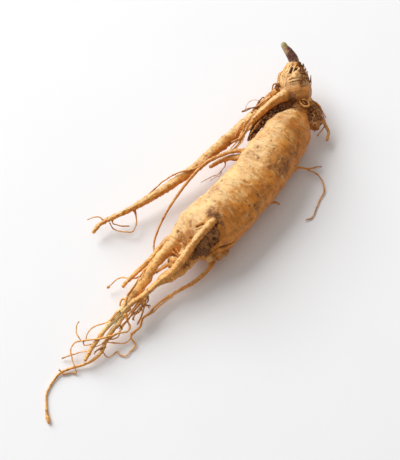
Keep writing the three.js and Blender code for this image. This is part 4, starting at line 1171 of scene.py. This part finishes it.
def make_rootlets():
    parents = [tube for tube, _ in TRUNK] + list(SIDE_TUBES.values())
    parts = []
    for i, route in enumerate(ROOTLETS + HAIRS):
        if i < len(ROOTLETS):
            route = [[x, y, z, max(width - THINNER, 0.5)] for x, y, z, width in route]
        tube = uneven(Tube(route, step=0.35, wander=0.3, seed=100 + i), 0.25, i)
        flared(tube, parents, ROOTLET_FLARE)
        verts, faces, along, rise, straight = tube_mesh(tube, 8, 0.45, root_relief)
        verts[:, 2] = np.maximum(verts[:, 2], 0)
        half = tube.at(along, tube.half)
        marks = {
            "hollow": np.clip(rise / (0.18 * half), -1, 1),
            "soil": spread(verts, DIRT) * 0.4,
            "dark": 0.4 * smooth(0.75, 1, along / tube.length),
            "thin": 1,
            "straight": straight,
        }
        parts.append((verts, faces, marks))
    return mesh_object("rootlets", *joined(parts))


# Crown scales, valley bark and knobs

def ball(centre, radius, rows, sides):
    """A closed round mesh."""
    up = np.linspace(-math.pi / 2, math.pi / 2, rows + 2)[1:-1]
    up, turn = np.meshgrid(up, round_angles(sides), indexing="ij")
    level = np.cos(up)
    verts = np.stack([level * np.cos(turn), level * np.sin(turn), np.sin(up)], -1).reshape(-1, 3)
    verts = np.concatenate([verts, [[0, 0, -1]], [[0, 0, 1]]])
    return centre + radius * verts, tube_faces(rows, sides)


def flake(centre, along, outward, size, seed):
    """A flat piece with a rough rim, as long as size[0], as wide as size[1] and as thick as size[2]."""
    verts, faces = ball(np.zeros(3), 1, 9, 16)
    rim = np.linalg.norm(verts[:, :2], axis=1)
    verts = verts * (1 + 0.22 * noise(verts * 1.6, seed))[:, None]
    verts[:, 2] += 0.35 * noise(verts * [1.4, 1.4, 0], seed + 1)
    outward = unit(np.array(outward, float))
    along = unit(along - outward * along.dot(outward))
    axes = np.stack([along, np.cross(outward, along), outward])
    return centre + (verts * np.array(size) / 2) @ axes, faces, rim


def laid(tube):
    """Moves a strand so that it lies on the trunk."""
    for _ in range(2):
        distance, outward, *_ = merged(tube.places, TRUNK)
        tube.places = tube.places + outward * (tube.half * (1 - 2 * SUNK) - distance)[:, None]
    return tube


def roughened(verts, amount, size, seed):
    """Places moved at random, in lumps about size mm across."""
    return verts + np.stack([amount * layered(verts / size, seed + k) for k in range(3)], 1)


def make_bark():
    parts = []
    for i, route in enumerate(SCALES):
        tube = Tube(route, step=0.3, seed=200 + i)
        outward = unit(tube.places - NECK_MIDDLE)
        tube.sides = unit(outward - tube.ways * (outward * tube.ways).sum(1)[:, None])
        tube.across = np.cross(tube.ways, tube.sides)
        verts, faces, *_ = tube_mesh(tube, 16, 0.3, root_relief, flat=0.3)
        parts.append((verts, faces, {"pale": 0.75 if i < PALE_SCALES else 0.3}))
    bed = Tube(BARK_BED, step=0.4, seed=210)
    verts, faces, *_ = tube_mesh(bed, 44, 0.45, root_relief, flat=0.8)
    verts = roughened(verts, 0.7, 1.7, 211)
    marks = {"pale": 0.3 + 0.2 * noise(verts / 1.5, 215), "cracked": smooth(54, 46, verts[:, 1])}
    parts.append((verts, faces, marks))
    side = Tube(DRY_SIDE, step=0.3, wander=0.3, seed=216)
    verts, faces, *_ = tube_mesh(side, 26, 0.35, root_relief)
    verts = roughened(verts, 0.3, 1.2, 217)
    parts.append((verts, faces, {"pale": 0.68 + 0.3 * noise(verts / 1.3, 219)}))
    rng = np.random.default_rng(7)
    for row in BARK_ROWS:
        _, places, _ = sampled([[*p, 1] for p in row], 2.2)
        ways = unit(np.gradient(places, axis=0))
        for place, way in zip(places, ways):
            size = [rng.uniform(2.2, 3.4), rng.uniform(1.2, 2.0), rng.uniform(0.9, 1.4)]
            outward = np.array([0.1, -0.2, 0.93]) + rng.uniform(-0.35, 0.35, 3)
            centre = place + rng.uniform(-0.4, 0.4, 3)
            verts, faces, rim = flake(centre, way, outward, size, int(rng.integers(999)))
            pale = rng.uniform(0.1, 0.34) + 0.42 * smooth(0.8, 1, rim)
            parts.append((verts, faces, {"pale": pale, "cracked": 1}))
    for i, (x, y, z, width, length, pale) in enumerate(LUMP_FLAKES):
        place = np.array([x, y, z])
        outward = unit(place - LUMP_MIDDLE) + rng.uniform(-0.5, 0.5, 3)
        way = unit(np.array([0.5, -0.85, -0.2]) + rng.uniform(-0.6, 0.6, 3))
        verts, faces, rim = flake(place, way, outward, [length, width, 0.9], 720 + i)
        parts.append((verts, faces, {"pale": pale + 0.25 * smooth(0.75, 1, rim), "cracked": 0.7}))
    for i, (x, y, z, width, length, thick, pale) in enumerate(PLATES):
        place = np.array([[x, y, z]])
        _, outward, *_ = merged(place, TRUNK)
        size = [length, width, thick]
        verts, faces, rim = flake(place[0], np.array([0, 1, 0]), outward[0], size, 270 + i)
        parts.append((verts, faces, {"pale": pale - 0.2 * (rim < 0.5)}))
    return mesh_object("loose_bark", *joined(parts))


def coil_route(coil):
    """A strand rolled up in a plane that faces up and a little to the front."""
    outward = unit(np.array([0.1, -0.3, 0.95]))
    side = unit(np.cross(outward, [0, 1.0, 0.3]))
    other = np.cross(outward, side)
    count = int(8 * coil["turns"]) + 1
    turn = np.linspace(0, coil["turns"] * 2 * math.pi, count)
    reach = np.linspace(*coil["reach"], count)
    places = np.array(coil["middle"]) + side * (reach * np.cos(turn))[:, None]
    places = places + other * (coil["squash"] * reach * np.sin(turn))[:, None]
    places = places + outward * np.linspace(-0.4, 0.4, count)[:, None]
    return [[*place, coil["width"] * (0.75 + 0.25 * math.cos(t))] for place, t in zip(places, turn / 3)]


def make_strands():
    parts = []
    for pale, routes in STRANDS.items():
        for i, route in enumerate(routes):
            tube = uneven(Tube(route, step=0.25, wander=0.25, seed=500 + i), 0.3, i)
            if merged(tube.places, TRUNK)[0].max() < CLINGS:
                laid(tube)
            verts, faces, *_ = tube_mesh(tube, 8, 0.3, root_relief)
            parts.append((verts, faces, {"pale": pale}))
    for i, coil in enumerate(COILS):
        tube = uneven(Tube(coil_route(coil), step=0.25, wander=0.5, seed=560 + i), 0.3, i)
        verts, faces, *_ = tube_mesh(tube, 12, 0.3, root_relief)
        parts.append((verts, faces, {"pale": coil["pale"]}))
    for i in range(CROWN_FIBRES):
        turn = 2 * math.pi * i / CROWN_FIBRES
        rng = np.random.default_rng(i)
        alongs = np.linspace(NECK_TUBE.length - 1.5, COLLAR_TOP + rng.uniform(3, 6), 5)
        angles = turn + rng.uniform(-0.12, 0.12) * np.arange(5)
        radius = NECK_TUBE.radius(alongs)
        side, across = NECK_TUBE.at(alongs, NECK_TUBE.sides), NECK_TUBE.at(alongs, NECK_TUBE.across)
        places = NECK_TUBE.at(alongs, NECK_TUBE.places) + side * (radius * np.cos(angles))[:, None]
        places = places + across * (radius * np.sin(angles))[:, None]
        if places[:, 2].max() > CROWN_FRONT:
            continue
        widths = rng.uniform(0.5, 1.0) * np.linspace(1, 0.5, 5)
        tube = laid(Tube([[*p, w] for p, w in zip(places, widths)], step=0.3, seed=600 + i))
        verts, faces, *_ = tube_mesh(tube, 8, 0.3, root_relief)
        tone = rng.uniform(0.15, 0.6) if places[-1, 0] > -4 else rng.uniform(0.84, 1.0)
        parts.append((verts, faces, {"pale": tone}))
    return mesh_object("strands", *joined(parts))


def make_knobs():
    parts = []
    for i, (x, y, z, width) in enumerate(KNOBS):
        verts, faces = ball(np.array([x, y, z]), width / 2, 14, 22)
        outward = unit(verts - [x, y, z])
        verts = verts + outward * (0.09 * width * layered(verts / (0.3 * width), 300 + i))[:, None]
        rise = layered(verts / 0.9, 310 + i)
        verts = verts + outward * (0.12 * rise)[:, None]
        marks = {
            "hollow": rise,
            "soil": spread(verts, DIRT) * 0.5,
            "pale": 0 if y > BY_THE_CROWN else 0.6,
            "crown": 0.5 if y > BY_THE_CROWN else 0,
            "straight": verts,
            "scratch": 0.35 if GOLDEN_KNOBS[0] < y < GOLDEN_KNOBS[1] else 0,
        }
        parts.append((verts, faces, marks))
    # The rough lobe, and the dark blob at the bottom of the hollow, whose dark is painted shade.
    for i, (route, dark) in enumerate(((LOBE, 0.0), (HOLLOW, 0.55))):
        tube = Tube(route, step=0.3, seed=70 + i)
        verts, faces, along, _, straight = tube_mesh(tube, 30, 0.35, root_relief)
        middle = tube.at(along, tube.places)
        rough = layered(verts / 1.3, 330 + i)
        verts = verts + unit(verts - middle) * (0.5 * rough)[:, None]
        cracks = smooth(-0.1, -0.45, rough)
        marks = {
            "hollow": np.clip(rough, -1, 1),
            "dark": np.maximum(dark, 0.7 * cracks),
            "pale": 0 if dark else 0.5,
            "worn": 0.4,
            "straight": straight,
            "scratch": 0 if dark else 0.35 * smooth(0.0, 0.5, rough),
            "amber": 0.35,
        }
        parts.append((verts, faces, marks))
    for i, route in enumerate(BROKEN):
        tube = Tube(route, step=0.3, domes=(0.5, 0.6), seed=60 + i)
        verts, faces, along, rise, straight = tube_mesh(tube, 26, 0.3, root_relief)
        rim = 0.7 * smooth(tube.length - 1.2, tube.length - 0.7, along)
        marks = {
            "hollow": np.clip(rise / 0.3, -1, 1),
            "dark": rim * smooth(tube.length, tube.length - 0.5, along),
            "pale": 0.1,
            "straight": straight,
            "scratch": 0.1,
            "amber": 0.85 * smooth(-0.7, 0.3, layered(verts / 1.6, 340 + i)),
        }
        parts.append((verts, faces, marks))
    return mesh_object("knobs", *joined(parts))


# Stem stub and soil

def make_stub():
    tube = Tube(STEM_STUB, step=0.25, seed=400)
    verts, faces, along, *_ = tube_mesh(tube, 28, 0.3)
    middle = tube.at(along, tube.places)
    # Painted light: how far each place lies toward the stem's left, which faces the light; the paint puts
    # beige there.
    toward_light = (verts - middle) @ unit(np.array([-0.75, -0.55, 0.2])) / tube.at(along, tube.half)
    return mesh_object("stub_skin", verts, faces, {"along": along / tube.length, "left": toward_light})


def make_soil():
    """The soil in the scar: a crumbly cake, level with the skin, that thins out over the scar's rim."""
    axes = scar_frame()
    rows, sides = 46, 120
    share, turn = np.meshgrid(np.linspace(0.02, SOIL_REACH, rows), round_angles(sides), indexing="ij")
    share, turn = share.ravel(), turn.ravel()
    rim = share * (1 + SCAR_WAVE * np.sin(3 * turn + 1))
    across, along = rim * np.cos(turn) * SCAR["width"] / 2, rim * np.sin(turn) * SCAR["length"] / 2
    flat = np.stack([across, along, 0 * rim], 1)
    verts = SCAR_MIDDLE + flat @ axes
    for _ in range(4):
        distance, outward, *_ = merged(verts, TRUNK)
        verts = verts - axes[2] * (distance / np.maximum(outward @ axes[2], 0.5))[:, None]
    lump = layered(flat / 1.9, 500, 4)
    height = 0.1 + 0.45 * lump - 0.5 * (1 - share ** 2).clip(0, 1)
    height = height - 0.9 * smooth(0.94, SOIL_REACH, share)
    verts = verts + axes[2] * height[:, None]
    marks = {
        "middle": 1 - smooth(0.45, 1.0, share),
        "fade": smooth(0.6, 0.9, share) * scar_fade(turn),
    }
    marks = {mark: np.concatenate([values, values[:1], values[-1:]]) for mark, values in marks.items()}
    verts = np.concatenate([verts, [verts[:sides].mean(0)], [SCAR_MIDDLE - 1.8 * axes[2]]])
    return mesh_object("soil_crust", verts, tube_faces(rows, sides), marks)


# Materials

class Paint:
    """Builds one material's nodes. Colours are linear red, green and blue."""

    def __init__(self, name):
        self.material = bpy.data.materials.new(name)
        self.material.use_nodes = True
        self.tree = self.material.node_tree
        self.shader = self.tree.nodes["Principled BSDF"]
        place = self.add("ShaderNodeTexCoord").outputs["Object"]
        inputs = {0: place, "Scale": 1 / MM}
        self.place = self.add("ShaderNodeVectorMath", operation="SCALE", inputs=inputs).outputs[0]

    def add(self, kind, inputs=None, **settings):
        node = self.tree.nodes.new(kind)
        for key, value in settings.items():
            setattr(node, key, value)
        for key, value in (inputs or {}).items():
            if isinstance(value, bpy.types.NodeSocket):
                self.tree.links.new(value, node.inputs[key])
            else:
                node.inputs[key].default_value = value
        return node

    def mark(self, name):
        return self.add("ShaderNodeAttribute", attribute_name=name).outputs["Fac"]

    def noise(self, size, detail=3, stretch=None, shift=0.0):
        """Noise from 0 to 1 with features about size mm across. stretch makes it follow the root."""
        place = self.place
        if stretch:
            place = self.add("ShaderNodeAttribute", attribute_name="straight").outputs["Vector"]
            place = self.vector_maths("MULTIPLY", place, stretch)
            place = self.vector_maths("ADD", place, (shift, shift, shift))
        inputs = {"Vector": place, "Scale": 1 / size, "Detail": detail, "Roughness": 0.6}
        return self.add("ShaderNodeTexNoise", inputs=inputs).outputs["Fac"]

    def ramp(self, value, low, high, start=0.0, end=1.0):
        inputs = {"Value": value, 1: low, 2: high, 3: start, 4: end}
        return self.add("ShaderNodeMapRange", inputs=inputs, interpolation_type="SMOOTHSTEP").outputs[0]

    def maths(self, operation, a, b=0.0):
        return self.add("ShaderNodeMath", operation=operation, inputs={0: a, 1: b}).outputs[0]

    def times(self, a, b):
        return self.maths("MULTIPLY", a, b)

    def plus(self, a, b):
        return self.maths("ADD", a, b)

    def minus(self, a, b):
        return self.maths("SUBTRACT", a, b)

    def vector_maths(self, operation, a, b):
        return self.add("ShaderNodeVectorMath", operation=operation, inputs={0: a, 1: b}).outputs[0]

    def mix(self, share, low, high):
        """A colour from low to high by share."""
        node = self.add("ShaderNodeMix", data_type="RGBA")
        for socket, value in ((node.inputs[0], share), (node.inputs[6], low), (node.inputs[7], high)):
            if isinstance(value, bpy.types.NodeSocket):
                self.tree.links.new(value, socket)
            elif isinstance(value, tuple):
                socket.default_value = (*value, 1)
            else:
                socket.default_value = value
        return node.outputs[2]

    def finish(self, colour, height, bump, roughness, **settings):
        self.tree.links.new(colour, self.shader.inputs["Base Color"])
        inputs = {"Height": height, "Strength": 1.0, "Distance": bump * MM}
        normal = self.add("ShaderNodeBump", inputs=inputs).outputs[0]
        self.tree.links.new(normal, self.shader.inputs["Normal"])
        if isinstance(roughness, bpy.types.NodeSocket):
            self.tree.links.new(roughness, self.shader.inputs["Roughness"])
        else:
            self.shader.inputs["Roughness"].default_value = roughness
        for key, value in settings.items():
            self.shader.inputs[key].default_value = value
        return self.material


# The cream and the pale cream below are painted highlight for skin that faces the key light; the deep orange
# is painted shade for skin that faces away from it.
LIT_CREAM = (0.8, 0.51, 0.225)
HIGHLIGHT_CREAM = (0.8, 0.55, 0.3)
PALE_YELLOW = (0.84, 0.58, 0.25)
TAN = (0.7, 0.31, 0.062)
ORANGE = (0.68, 0.255, 0.032)
SHADE_ORANGE = (0.84, 0.265, 0.028)
DULL = (0.52, 0.22, 0.06)
BROWN = (0.34, 0.12, 0.026)
DARK_BROWN = (0.12, 0.042, 0.014)
WORN_BROWN = (0.36, 0.145, 0.045)
SOIL = (0.25, 0.097, 0.03)
DARK_SOIL = (0.08, 0.03, 0.01)
GREY_SOIL = (0.37, 0.17, 0.07)
ROOTLET_TAN = (0.74, 0.29, 0.035)
PURPLE_BROWN = (0.3, 0.11, 0.045)
SHADED_BROWN = (0.4, 0.14, 0.026)
AMBER_BROWN = (0.5, 0.18, 0.03)
CROWN_BEIGE = (0.72, 0.465, 0.225)
LOWER_GOLD = (1.0, 0.52, 0.15)
# The fleck and speck browns below are lit copies of darker browns, for skin that faces the key light.
LIT_FLECK_BROWN = (0.55, 0.25, 0.075)
LIT_SPECK_BROWN = (0.36, 0.14, 0.034)
# The scratch cream below also paints pale patches that are partly painted highlights.
SCRATCH_AND_HIGHLIGHT_CREAM = (0.9, 0.63, 0.28)
BARK_BLACK = (0.06, 0.022, 0.01)
BARK_BROWN = (0.26, 0.1, 0.035)
BARK_TAN = (0.65, 0.29, 0.08)
BARK_CREAM = (0.85, 0.56, 0.27)
CLOD_BROWN = (0.28, 0.11, 0.05)
CLOD_TAN = (0.7, 0.35, 0.15)
CRACK_BLACK = (0.035, 0.013, 0.007)
STEM_BLACK = (0.08, 0.028, 0.022)
STEM_BROWN = (0.2, 0.08, 0.055)
# The sheath beige and the tip beige below are painted highlight on the stem's lit side.
LIT_SHEATH_BEIGE = (0.5, 0.33, 0.19)
TIP_GREEN = (0.3, 0.25, 0.09)
LIT_TIP_BEIGE = (0.5, 0.36, 0.2)
FOOT_BEIGE = (0.45, 0.3, 0.17)
SOIL_BLACK = (0.02, 0.01, 0.006)
BARE_ORANGE = (0.55, 0.2, 0.035)
FLOOR_DARKER = (0.85, 0.85, 0.86)
FLOOR_LIGHTER = (0.86, 0.86, 0.87)


def skin_paint(name):
    paint = Paint(name)
    hollow, soil, dark, lit_side = (paint.mark(name) for name in ("hollow", "soil", "dark", "lit_side"))
    colour = paint.mix(paint.ramp(paint.noise(12, 3), 0.4, 0.6), TAN, ORANGE)
    colour = paint.mix(paint.ramp(paint.noise(9, 6), 0.5, 0.62, 0, 0.6), colour, DULL)
    colour = paint.mix(paint.times(paint.mark("thin"), 0.5), colour, ROOTLET_TAN)
    # Painted light: cream where the skin faces the key light, a paler cream highlight where it faces it
    # most, and deep orange as painted shade on the side away from it.
    ragged_lit_side = paint.plus(lit_side, paint.ramp(paint.noise(3.2, 6), 0.3, 0.7, -0.25, 0.25))
    lit = paint.ramp(ragged_lit_side, 0.1, 0.9, 0.25, 1)
    colour = paint.mix(paint.ramp(ragged_lit_side, 0.42, 0.88, 0, 0.92), colour, LIT_CREAM)
    colour = paint.mix(paint.ramp(ragged_lit_side, 0.45, 0.0, 0, 0.7), colour, SHADE_ORANGE)
    colour = paint.mix(paint.ramp(ragged_lit_side, 0.85, 1.15, 0, 0.7), colour, HIGHLIGHT_CREAM)
    # Cream mottle only where lit is painted highlight; brown mottle only where shaded is painted shade.
    mottle = paint.noise(3.4, 6)
    colour = paint.mix(paint.times(lit, paint.ramp(mottle, 0.5, 0.62, 0, 0.5)), colour, LIT_CREAM)
    shaded = paint.ramp(ragged_lit_side, 0.95, 0.4, 0.3, 1)
    brown = paint.times(shaded, paint.ramp(mottle, 0.49, 0.4, 0, 0.5))
    colour = paint.mix(brown, colour, SHADED_BROWN)
    colour = paint.mix(paint.mark("amber"), colour, AMBER_BROWN)
    # Cream in the bands only where lit: painted highlight.
    bands = paint.noise(2.6, 5, (1.6, 0.4, 0.4))
    colour = paint.mix(paint.times(lit, paint.ramp(bands, 0.53, 0.65, 0, 0.3)), colour, LIT_CREAM)
    colour = paint.mix(paint.ramp(bands, 0.47, 0.37, 0, 0.25), colour, BROWN)
    # Painted highlight on the relief's ridges where lit, and painted shade in its grooves.
    colour = paint.mix(paint.times(lit, paint.ramp(hollow, 0.1, 0.9, 0, 0.35)), colour, LIT_CREAM)
    colour = paint.mix(paint.ramp(hollow, -0.1, -0.9, 0, 0.4), colour, BROWN)
    old = paint.times(paint.mark("crown"), paint.ramp(paint.noise(1.6, 4), 0.5, 0.7, 0.0, 0.3))
    colour = paint.mix(paint.times(paint.mark("crown"), 0.62), colour, CROWN_BEIGE)
    colour = paint.mix(old, colour, BROWN)
    # Pale yellow only where the skin faces the light: painted highlight on the paler roots.
    pale = paint.times(paint.mark("pale"), lit)
    colour = paint.mix(paint.times(pale, 0.6), colour, PALE_YELLOW)
    along = paint.add("ShaderNodeSeparateXYZ", inputs={0: paint.place}).outputs["Y"]
    colour = paint.mix(paint.ramp(along, -38.0, -60.0, 0, 0.5), colour, LOWER_GOLD)
    grain = paint.ramp(paint.noise(0.9, 5, (1.2, 0.7, 0.7)), 0.44, 0.56)
    # Brown patches only on the side away from the light: painted shade.
    patches = paint.ramp(paint.noise(6, 5), 0.5, 0.62, 0, 0.55)
    patches = paint.times(patches, paint.times(shaded, grain))
    colour = paint.mix(patches, colour, WORN_BROWN)
    blots = paint.ramp(paint.noise(1.4, 6), 0.4, 0.56, 0.35, 0.8)
    colour = paint.mix(paint.times(paint.mark("worn"), blots), colour, WORN_BROWN)
    # Flecks and specks are a lighter brown where the skin faces the light: lit and shaded copies of one
    # mark.
    flecks = paint.ramp(paint.noise(0.9, 3, (1.6, 0.7, 0.7), 5.0), 0.63, 0.68, 0, 0.55)
    fleck = paint.mix(lit, BROWN, LIT_FLECK_BROWN)
    colour = paint.mix(flecks, colour, fleck)
    specks = paint.ramp(paint.noise(0.8, 2, (1.2, 0.9, 0.9), 31.0), 0.655, 0.69, 0, 0.9)
    colour = paint.mix(specks, colour, paint.mix(lit, DARK_BROWN, LIT_SPECK_BROWN))
    on_pale = paint.ramp(paint.mark("pale"), 0.1, 0.35)
    spots = paint.times(on_pale, paint.ramp(paint.noise(1.3, 2), 0.6, 0.66, 0, 0.7))
    colour = paint.mix(spots, colour, PURPLE_BROWN)
    # Pale scratches, dashes, patches and golden places; some of the patches are painted highlights.
    lights = paint.ramp(paint.noise(0.8, 2, (2.2, 0.35, 0.35), 17.0), 0.68, 0.72, 0, 0.4)
    colour = paint.mix(paint.maths("MAXIMUM", lights, paint.mark("scratch")), colour, SCRATCH_AND_HIGHLIGHT_CREAM)
    rings = paint.maths("ABSOLUTE", paint.minus(paint.noise(2.4, 3, (1.0, 0.24, 0.24), 9.0), 0.5))
    crease = paint.times(paint.ramp(rings, 0.0, 0.022, 1, 0), paint.ramp(paint.noise(5, 4), 0.44, 0.56))
    colour = paint.mix(paint.times(crease, 0.5), colour, BROWN)
    colour = paint.mix(dark, colour, DARK_BROWN)
    crumbs = paint.ramp(paint.noise(0.9, 4), 0.35, 0.65)
    earth = paint.mix(crumbs, DARK_SOIL, SOIL)
    grip = paint.ramp(paint.plus(soil, paint.ramp(paint.noise(0.9, 5), 0.3, 0.7, -0.6, 0.35)), 0.25, 0.6)
    colour = paint.mix(grip, colour, earth)
    fine = paint.noise(0.5, 4)
    height = paint.plus(fine, paint.times(paint.noise(0.9, 3, (1.7, 0.4, 0.4)), 1.2))
    height = paint.minus(height, paint.times(specks, 0.6))
    height = paint.plus(height, paint.times(lights, 0.5))
    height = paint.minus(height, paint.times(crease, 0.6))
    rough = paint.ramp(fine, 0.3, 0.7, 0.36, 0.58)
    return paint.finish(
        colour, height, 0.17, rough,
        **{
            "Specular IOR Level": 0.2, "Subsurface Weight": 0.05,
            "Subsurface Radius": (1.0, 0.45, 0.2), "Subsurface Scale": 1.2 * MM,
        },
    )


def bark_paint():
    """Dry bark, scales and strands, from dark brown to cream by the mark pale."""
    paint = Paint("dry_bark")
    grain = paint.noise(0.7, 5)
    pale = paint.plus(paint.mark("pale"), paint.ramp(grain, 0.3, 0.7, -0.2, 0.2))
    colour = paint.mix(paint.ramp(pale, 0.0, 0.35), BARK_BLACK, BARK_BROWN)
    colour = paint.mix(paint.ramp(pale, 0.35, 0.72), colour, BARK_TAN)
    colour = paint.mix(paint.ramp(pale, 0.75, 1.0), colour, BARK_CREAM)
    stretched = paint.vector_maths("MULTIPLY", paint.place, (1.0, 0.5, 1.0))
    inputs = {"Vector": paint.place, "Scale": 0.8, "Detail": 4}
    wild = paint.add("ShaderNodeTexNoise", inputs=inputs).outputs["Color"]
    inputs = {"Vector": paint.vector_maths("ADD", stretched, wild), "Scale": 0.55}
    edge = paint.add("ShaderNodeTexVoronoi", inputs=inputs, feature="DISTANCE_TO_EDGE")
    crack = paint.times(paint.mark("cracked"), paint.ramp(edge.outputs["Distance"], 0.0, 0.16, 1, 0))
    face = paint.mix(paint.ramp(pale, 0.1, 0.6), CLOD_BROWN, CLOD_TAN)
    colour = paint.mix(paint.mark("cracked"), colour, face)
    colour = paint.mix(crack, colour, CRACK_BLACK)
    height = paint.minus(grain, paint.times(crack, 2.5))
    return paint.finish(colour, height, 0.25, 0.8, **{"Specular IOR Level": 0.1})


def stub_paint():
    """The dry stem, by the mark along, from its pale sheath to the yellow-green tip. The beige on its lit
    side and the beige rim at its tip are painted highlight.
    """
    paint = Paint("dry_stem")
    along = paint.mark("along")
    streaks = paint.ramp(paint.noise(0.9, 4), 0.35, 0.68)
    colour = paint.mix(streaks, STEM_BLACK, STEM_BROWN)
    lit = paint.plus(paint.mark("left"), paint.ramp(paint.noise(1.2, 4), 0.3, 0.7, -0.3, 0.3))
    beige = paint.times(paint.ramp(lit, 0.1, 0.6), paint.ramp(along, 0.55, 0.68))
    colour = paint.mix(beige, colour, LIT_SHEATH_BEIGE)
    tip = paint.ramp(along, 0.74, 0.86)
    colour = paint.mix(tip, colour, TIP_GREEN)
    rim = paint.times(paint.ramp(lit, 0.2, 0.7), tip)
    colour = paint.mix(rim, colour, LIT_TIP_BEIGE)
    foot = paint.ramp(along, 0.42, 0.26)
    colour = paint.mix(paint.times(foot, streaks), colour, FOOT_BEIGE)
    return paint.finish(colour, paint.noise(0.5, 4), 0.1, 0.5, **{"Specular IOR Level": 0.25})


def soil_paint():
    paint = Paint("soil")
    middle = paint.mark("middle")
    clods = paint.ramp(paint.noise(1.6, 5), 0.4, 0.6)
    colour = paint.mix(clods, DARK_SOIL, SOIL)
    dusty = paint.times(paint.ramp(middle, 0, 1, 0.2, 1), paint.ramp(paint.noise(2, 5), 0.42, 0.56))
    colour = paint.mix(dusty, colour, GREY_SOIL)
    thinned = paint.plus(paint.mark("fade"), paint.ramp(paint.noise(1.1, 5), 0.3, 0.7, -0.35, 0.35))
    bare = paint.ramp(thinned, 0.35, 0.6)
    outer = paint.ramp(middle, 0, 1, 1, 0.4)
    specks = paint.times(outer, paint.ramp(paint.noise(0.9, 3), 0.54, 0.6, 0, 0.95))
    colour = paint.mix(specks, colour, SOIL_BLACK)
    colour = paint.mix(bare, colour, BARE_ORANGE)
    return paint.finish(colour, paint.noise(0.5, 5), 0.35, 0.95, **{"Specular IOR Level": 0.05})


def floor_paint():
    paint = Paint("pale_surface")
    tone = paint.ramp(paint.noise(60, 2), 0.3, 0.7)
    colour = paint.mix(tone, FLOOR_DARKER, FLOOR_LIGHTER)
    return paint.finish(colour, paint.noise(1.5, 2), 0.01, 0.8)


def dress(made, material, slot, *nodes):
    """Gives a piece its material and its body, and hides the nodes that it stands for. Its slot is not used.
    """
    made.data.materials.append(material)
    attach(made, "root")
    if nodes:
        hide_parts(*nodes)


# Surface, light and camera

def make_floor():
    reach = 3.0
    verts = [(-reach, -reach, 0), (reach, -reach, 0), (reach, reach, 0), (-reach, reach, 0)]
    mesh = bpy.data.meshes.new("pale_surface")
    mesh.from_pydata(verts, [], [(0, 1, 2, 3)])
    made = bpy.data.objects.new("pale_surface", mesh)
    bpy.context.scene.collection.objects.link(made)
    mesh.materials.append(floor_paint())


AZIMUTH, ELEVATION = math.radians(30), math.radians(68)
TARGET = np.array([-9.04, -27.65, 10.0]) * MM
DISTANCE = 0.6389
LENS, SENSOR = 100, 36
LIGHTS = {
    "key": {"way": (-0.956, 0.292, 0.713), "distance": 2.8, "size": 2.1, "power": 106},
    "panel": {"way": (-0.3, 0.25, 1.0), "distance": 1.6, "size": 2.4, "power": 6},
}
LIGHT_COLOUR = (0.955, 0.98, 1.0)
WORLD_COLOUR = (1.0, 0.93, 0.86)
WORLD_STRENGTH = 0.325


def looking_from(azimuth, elevation):
    return np.array([
        math.sin(azimuth) * math.cos(elevation),
        -math.cos(azimuth) * math.cos(elevation),
        math.sin(elevation),
    ])


def make_camera():
    data = bpy.data.cameras.new("camera")
    data.lens, data.sensor_width = LENS, SENSOR
    made = bpy.data.objects.new("camera", data)
    back = looking_from(AZIMUTH, ELEVATION)
    made.location = TARGET + DISTANCE * back
    made.rotation_euler = (math.pi / 2 - ELEVATION, 0, AZIMUTH)
    bpy.context.scene.collection.objects.link(made)
    bpy.context.scene.camera = made


def area_light(name, way, distance, size, power):
    """A square soft light that looks at the root from the way given."""
    data = bpy.data.lights.new(name, "AREA")
    data.size, data.energy, data.color = size, power, LIGHT_COLOUR
    made = bpy.data.objects.new(name, data)
    way = unit(np.array(way, float))
    made.location = TARGET + way * distance
    made.rotation_euler = Vector(way).to_track_quat("Z", "Y").to_euler()
    bpy.context.scene.collection.objects.link(made)


def make_light():
    world = bpy.data.worlds.new("studio")
    world.use_nodes = True
    background = world.node_tree.nodes["Background"]
    background.inputs["Color"].default_value = (*WORLD_COLOUR, 1)
    background.inputs["Strength"].default_value = WORLD_STRENGTH
    bpy.context.scene.world = world
    for name, light in LIGHTS.items():
        area_light(name, **light)


skin = skin_paint("root_skin")
dress(make_trunk(), skin, "root_skin", "grown_root")
dress(make_side_roots(), skin, "root_skin", "grown_root")
dress(make_rootlets(), skin, "root_skin", "grown_root")
dress(make_knobs(), skin, "root_skin", "grown_root")
bark = bark_paint()
dress(make_bark(), bark, "root_skin", "grown_root")
dress(make_strands(), bark, "root_skin", "grown_root")
dress(make_stub(), stub_paint(), "dry_stem", "stem_stub")
dress(make_soil(), soil_paint(), "soil", "soil_cake")
make_floor()
make_camera()
make_light()
bpy.context.scene.view_settings.view_transform = "Standard"
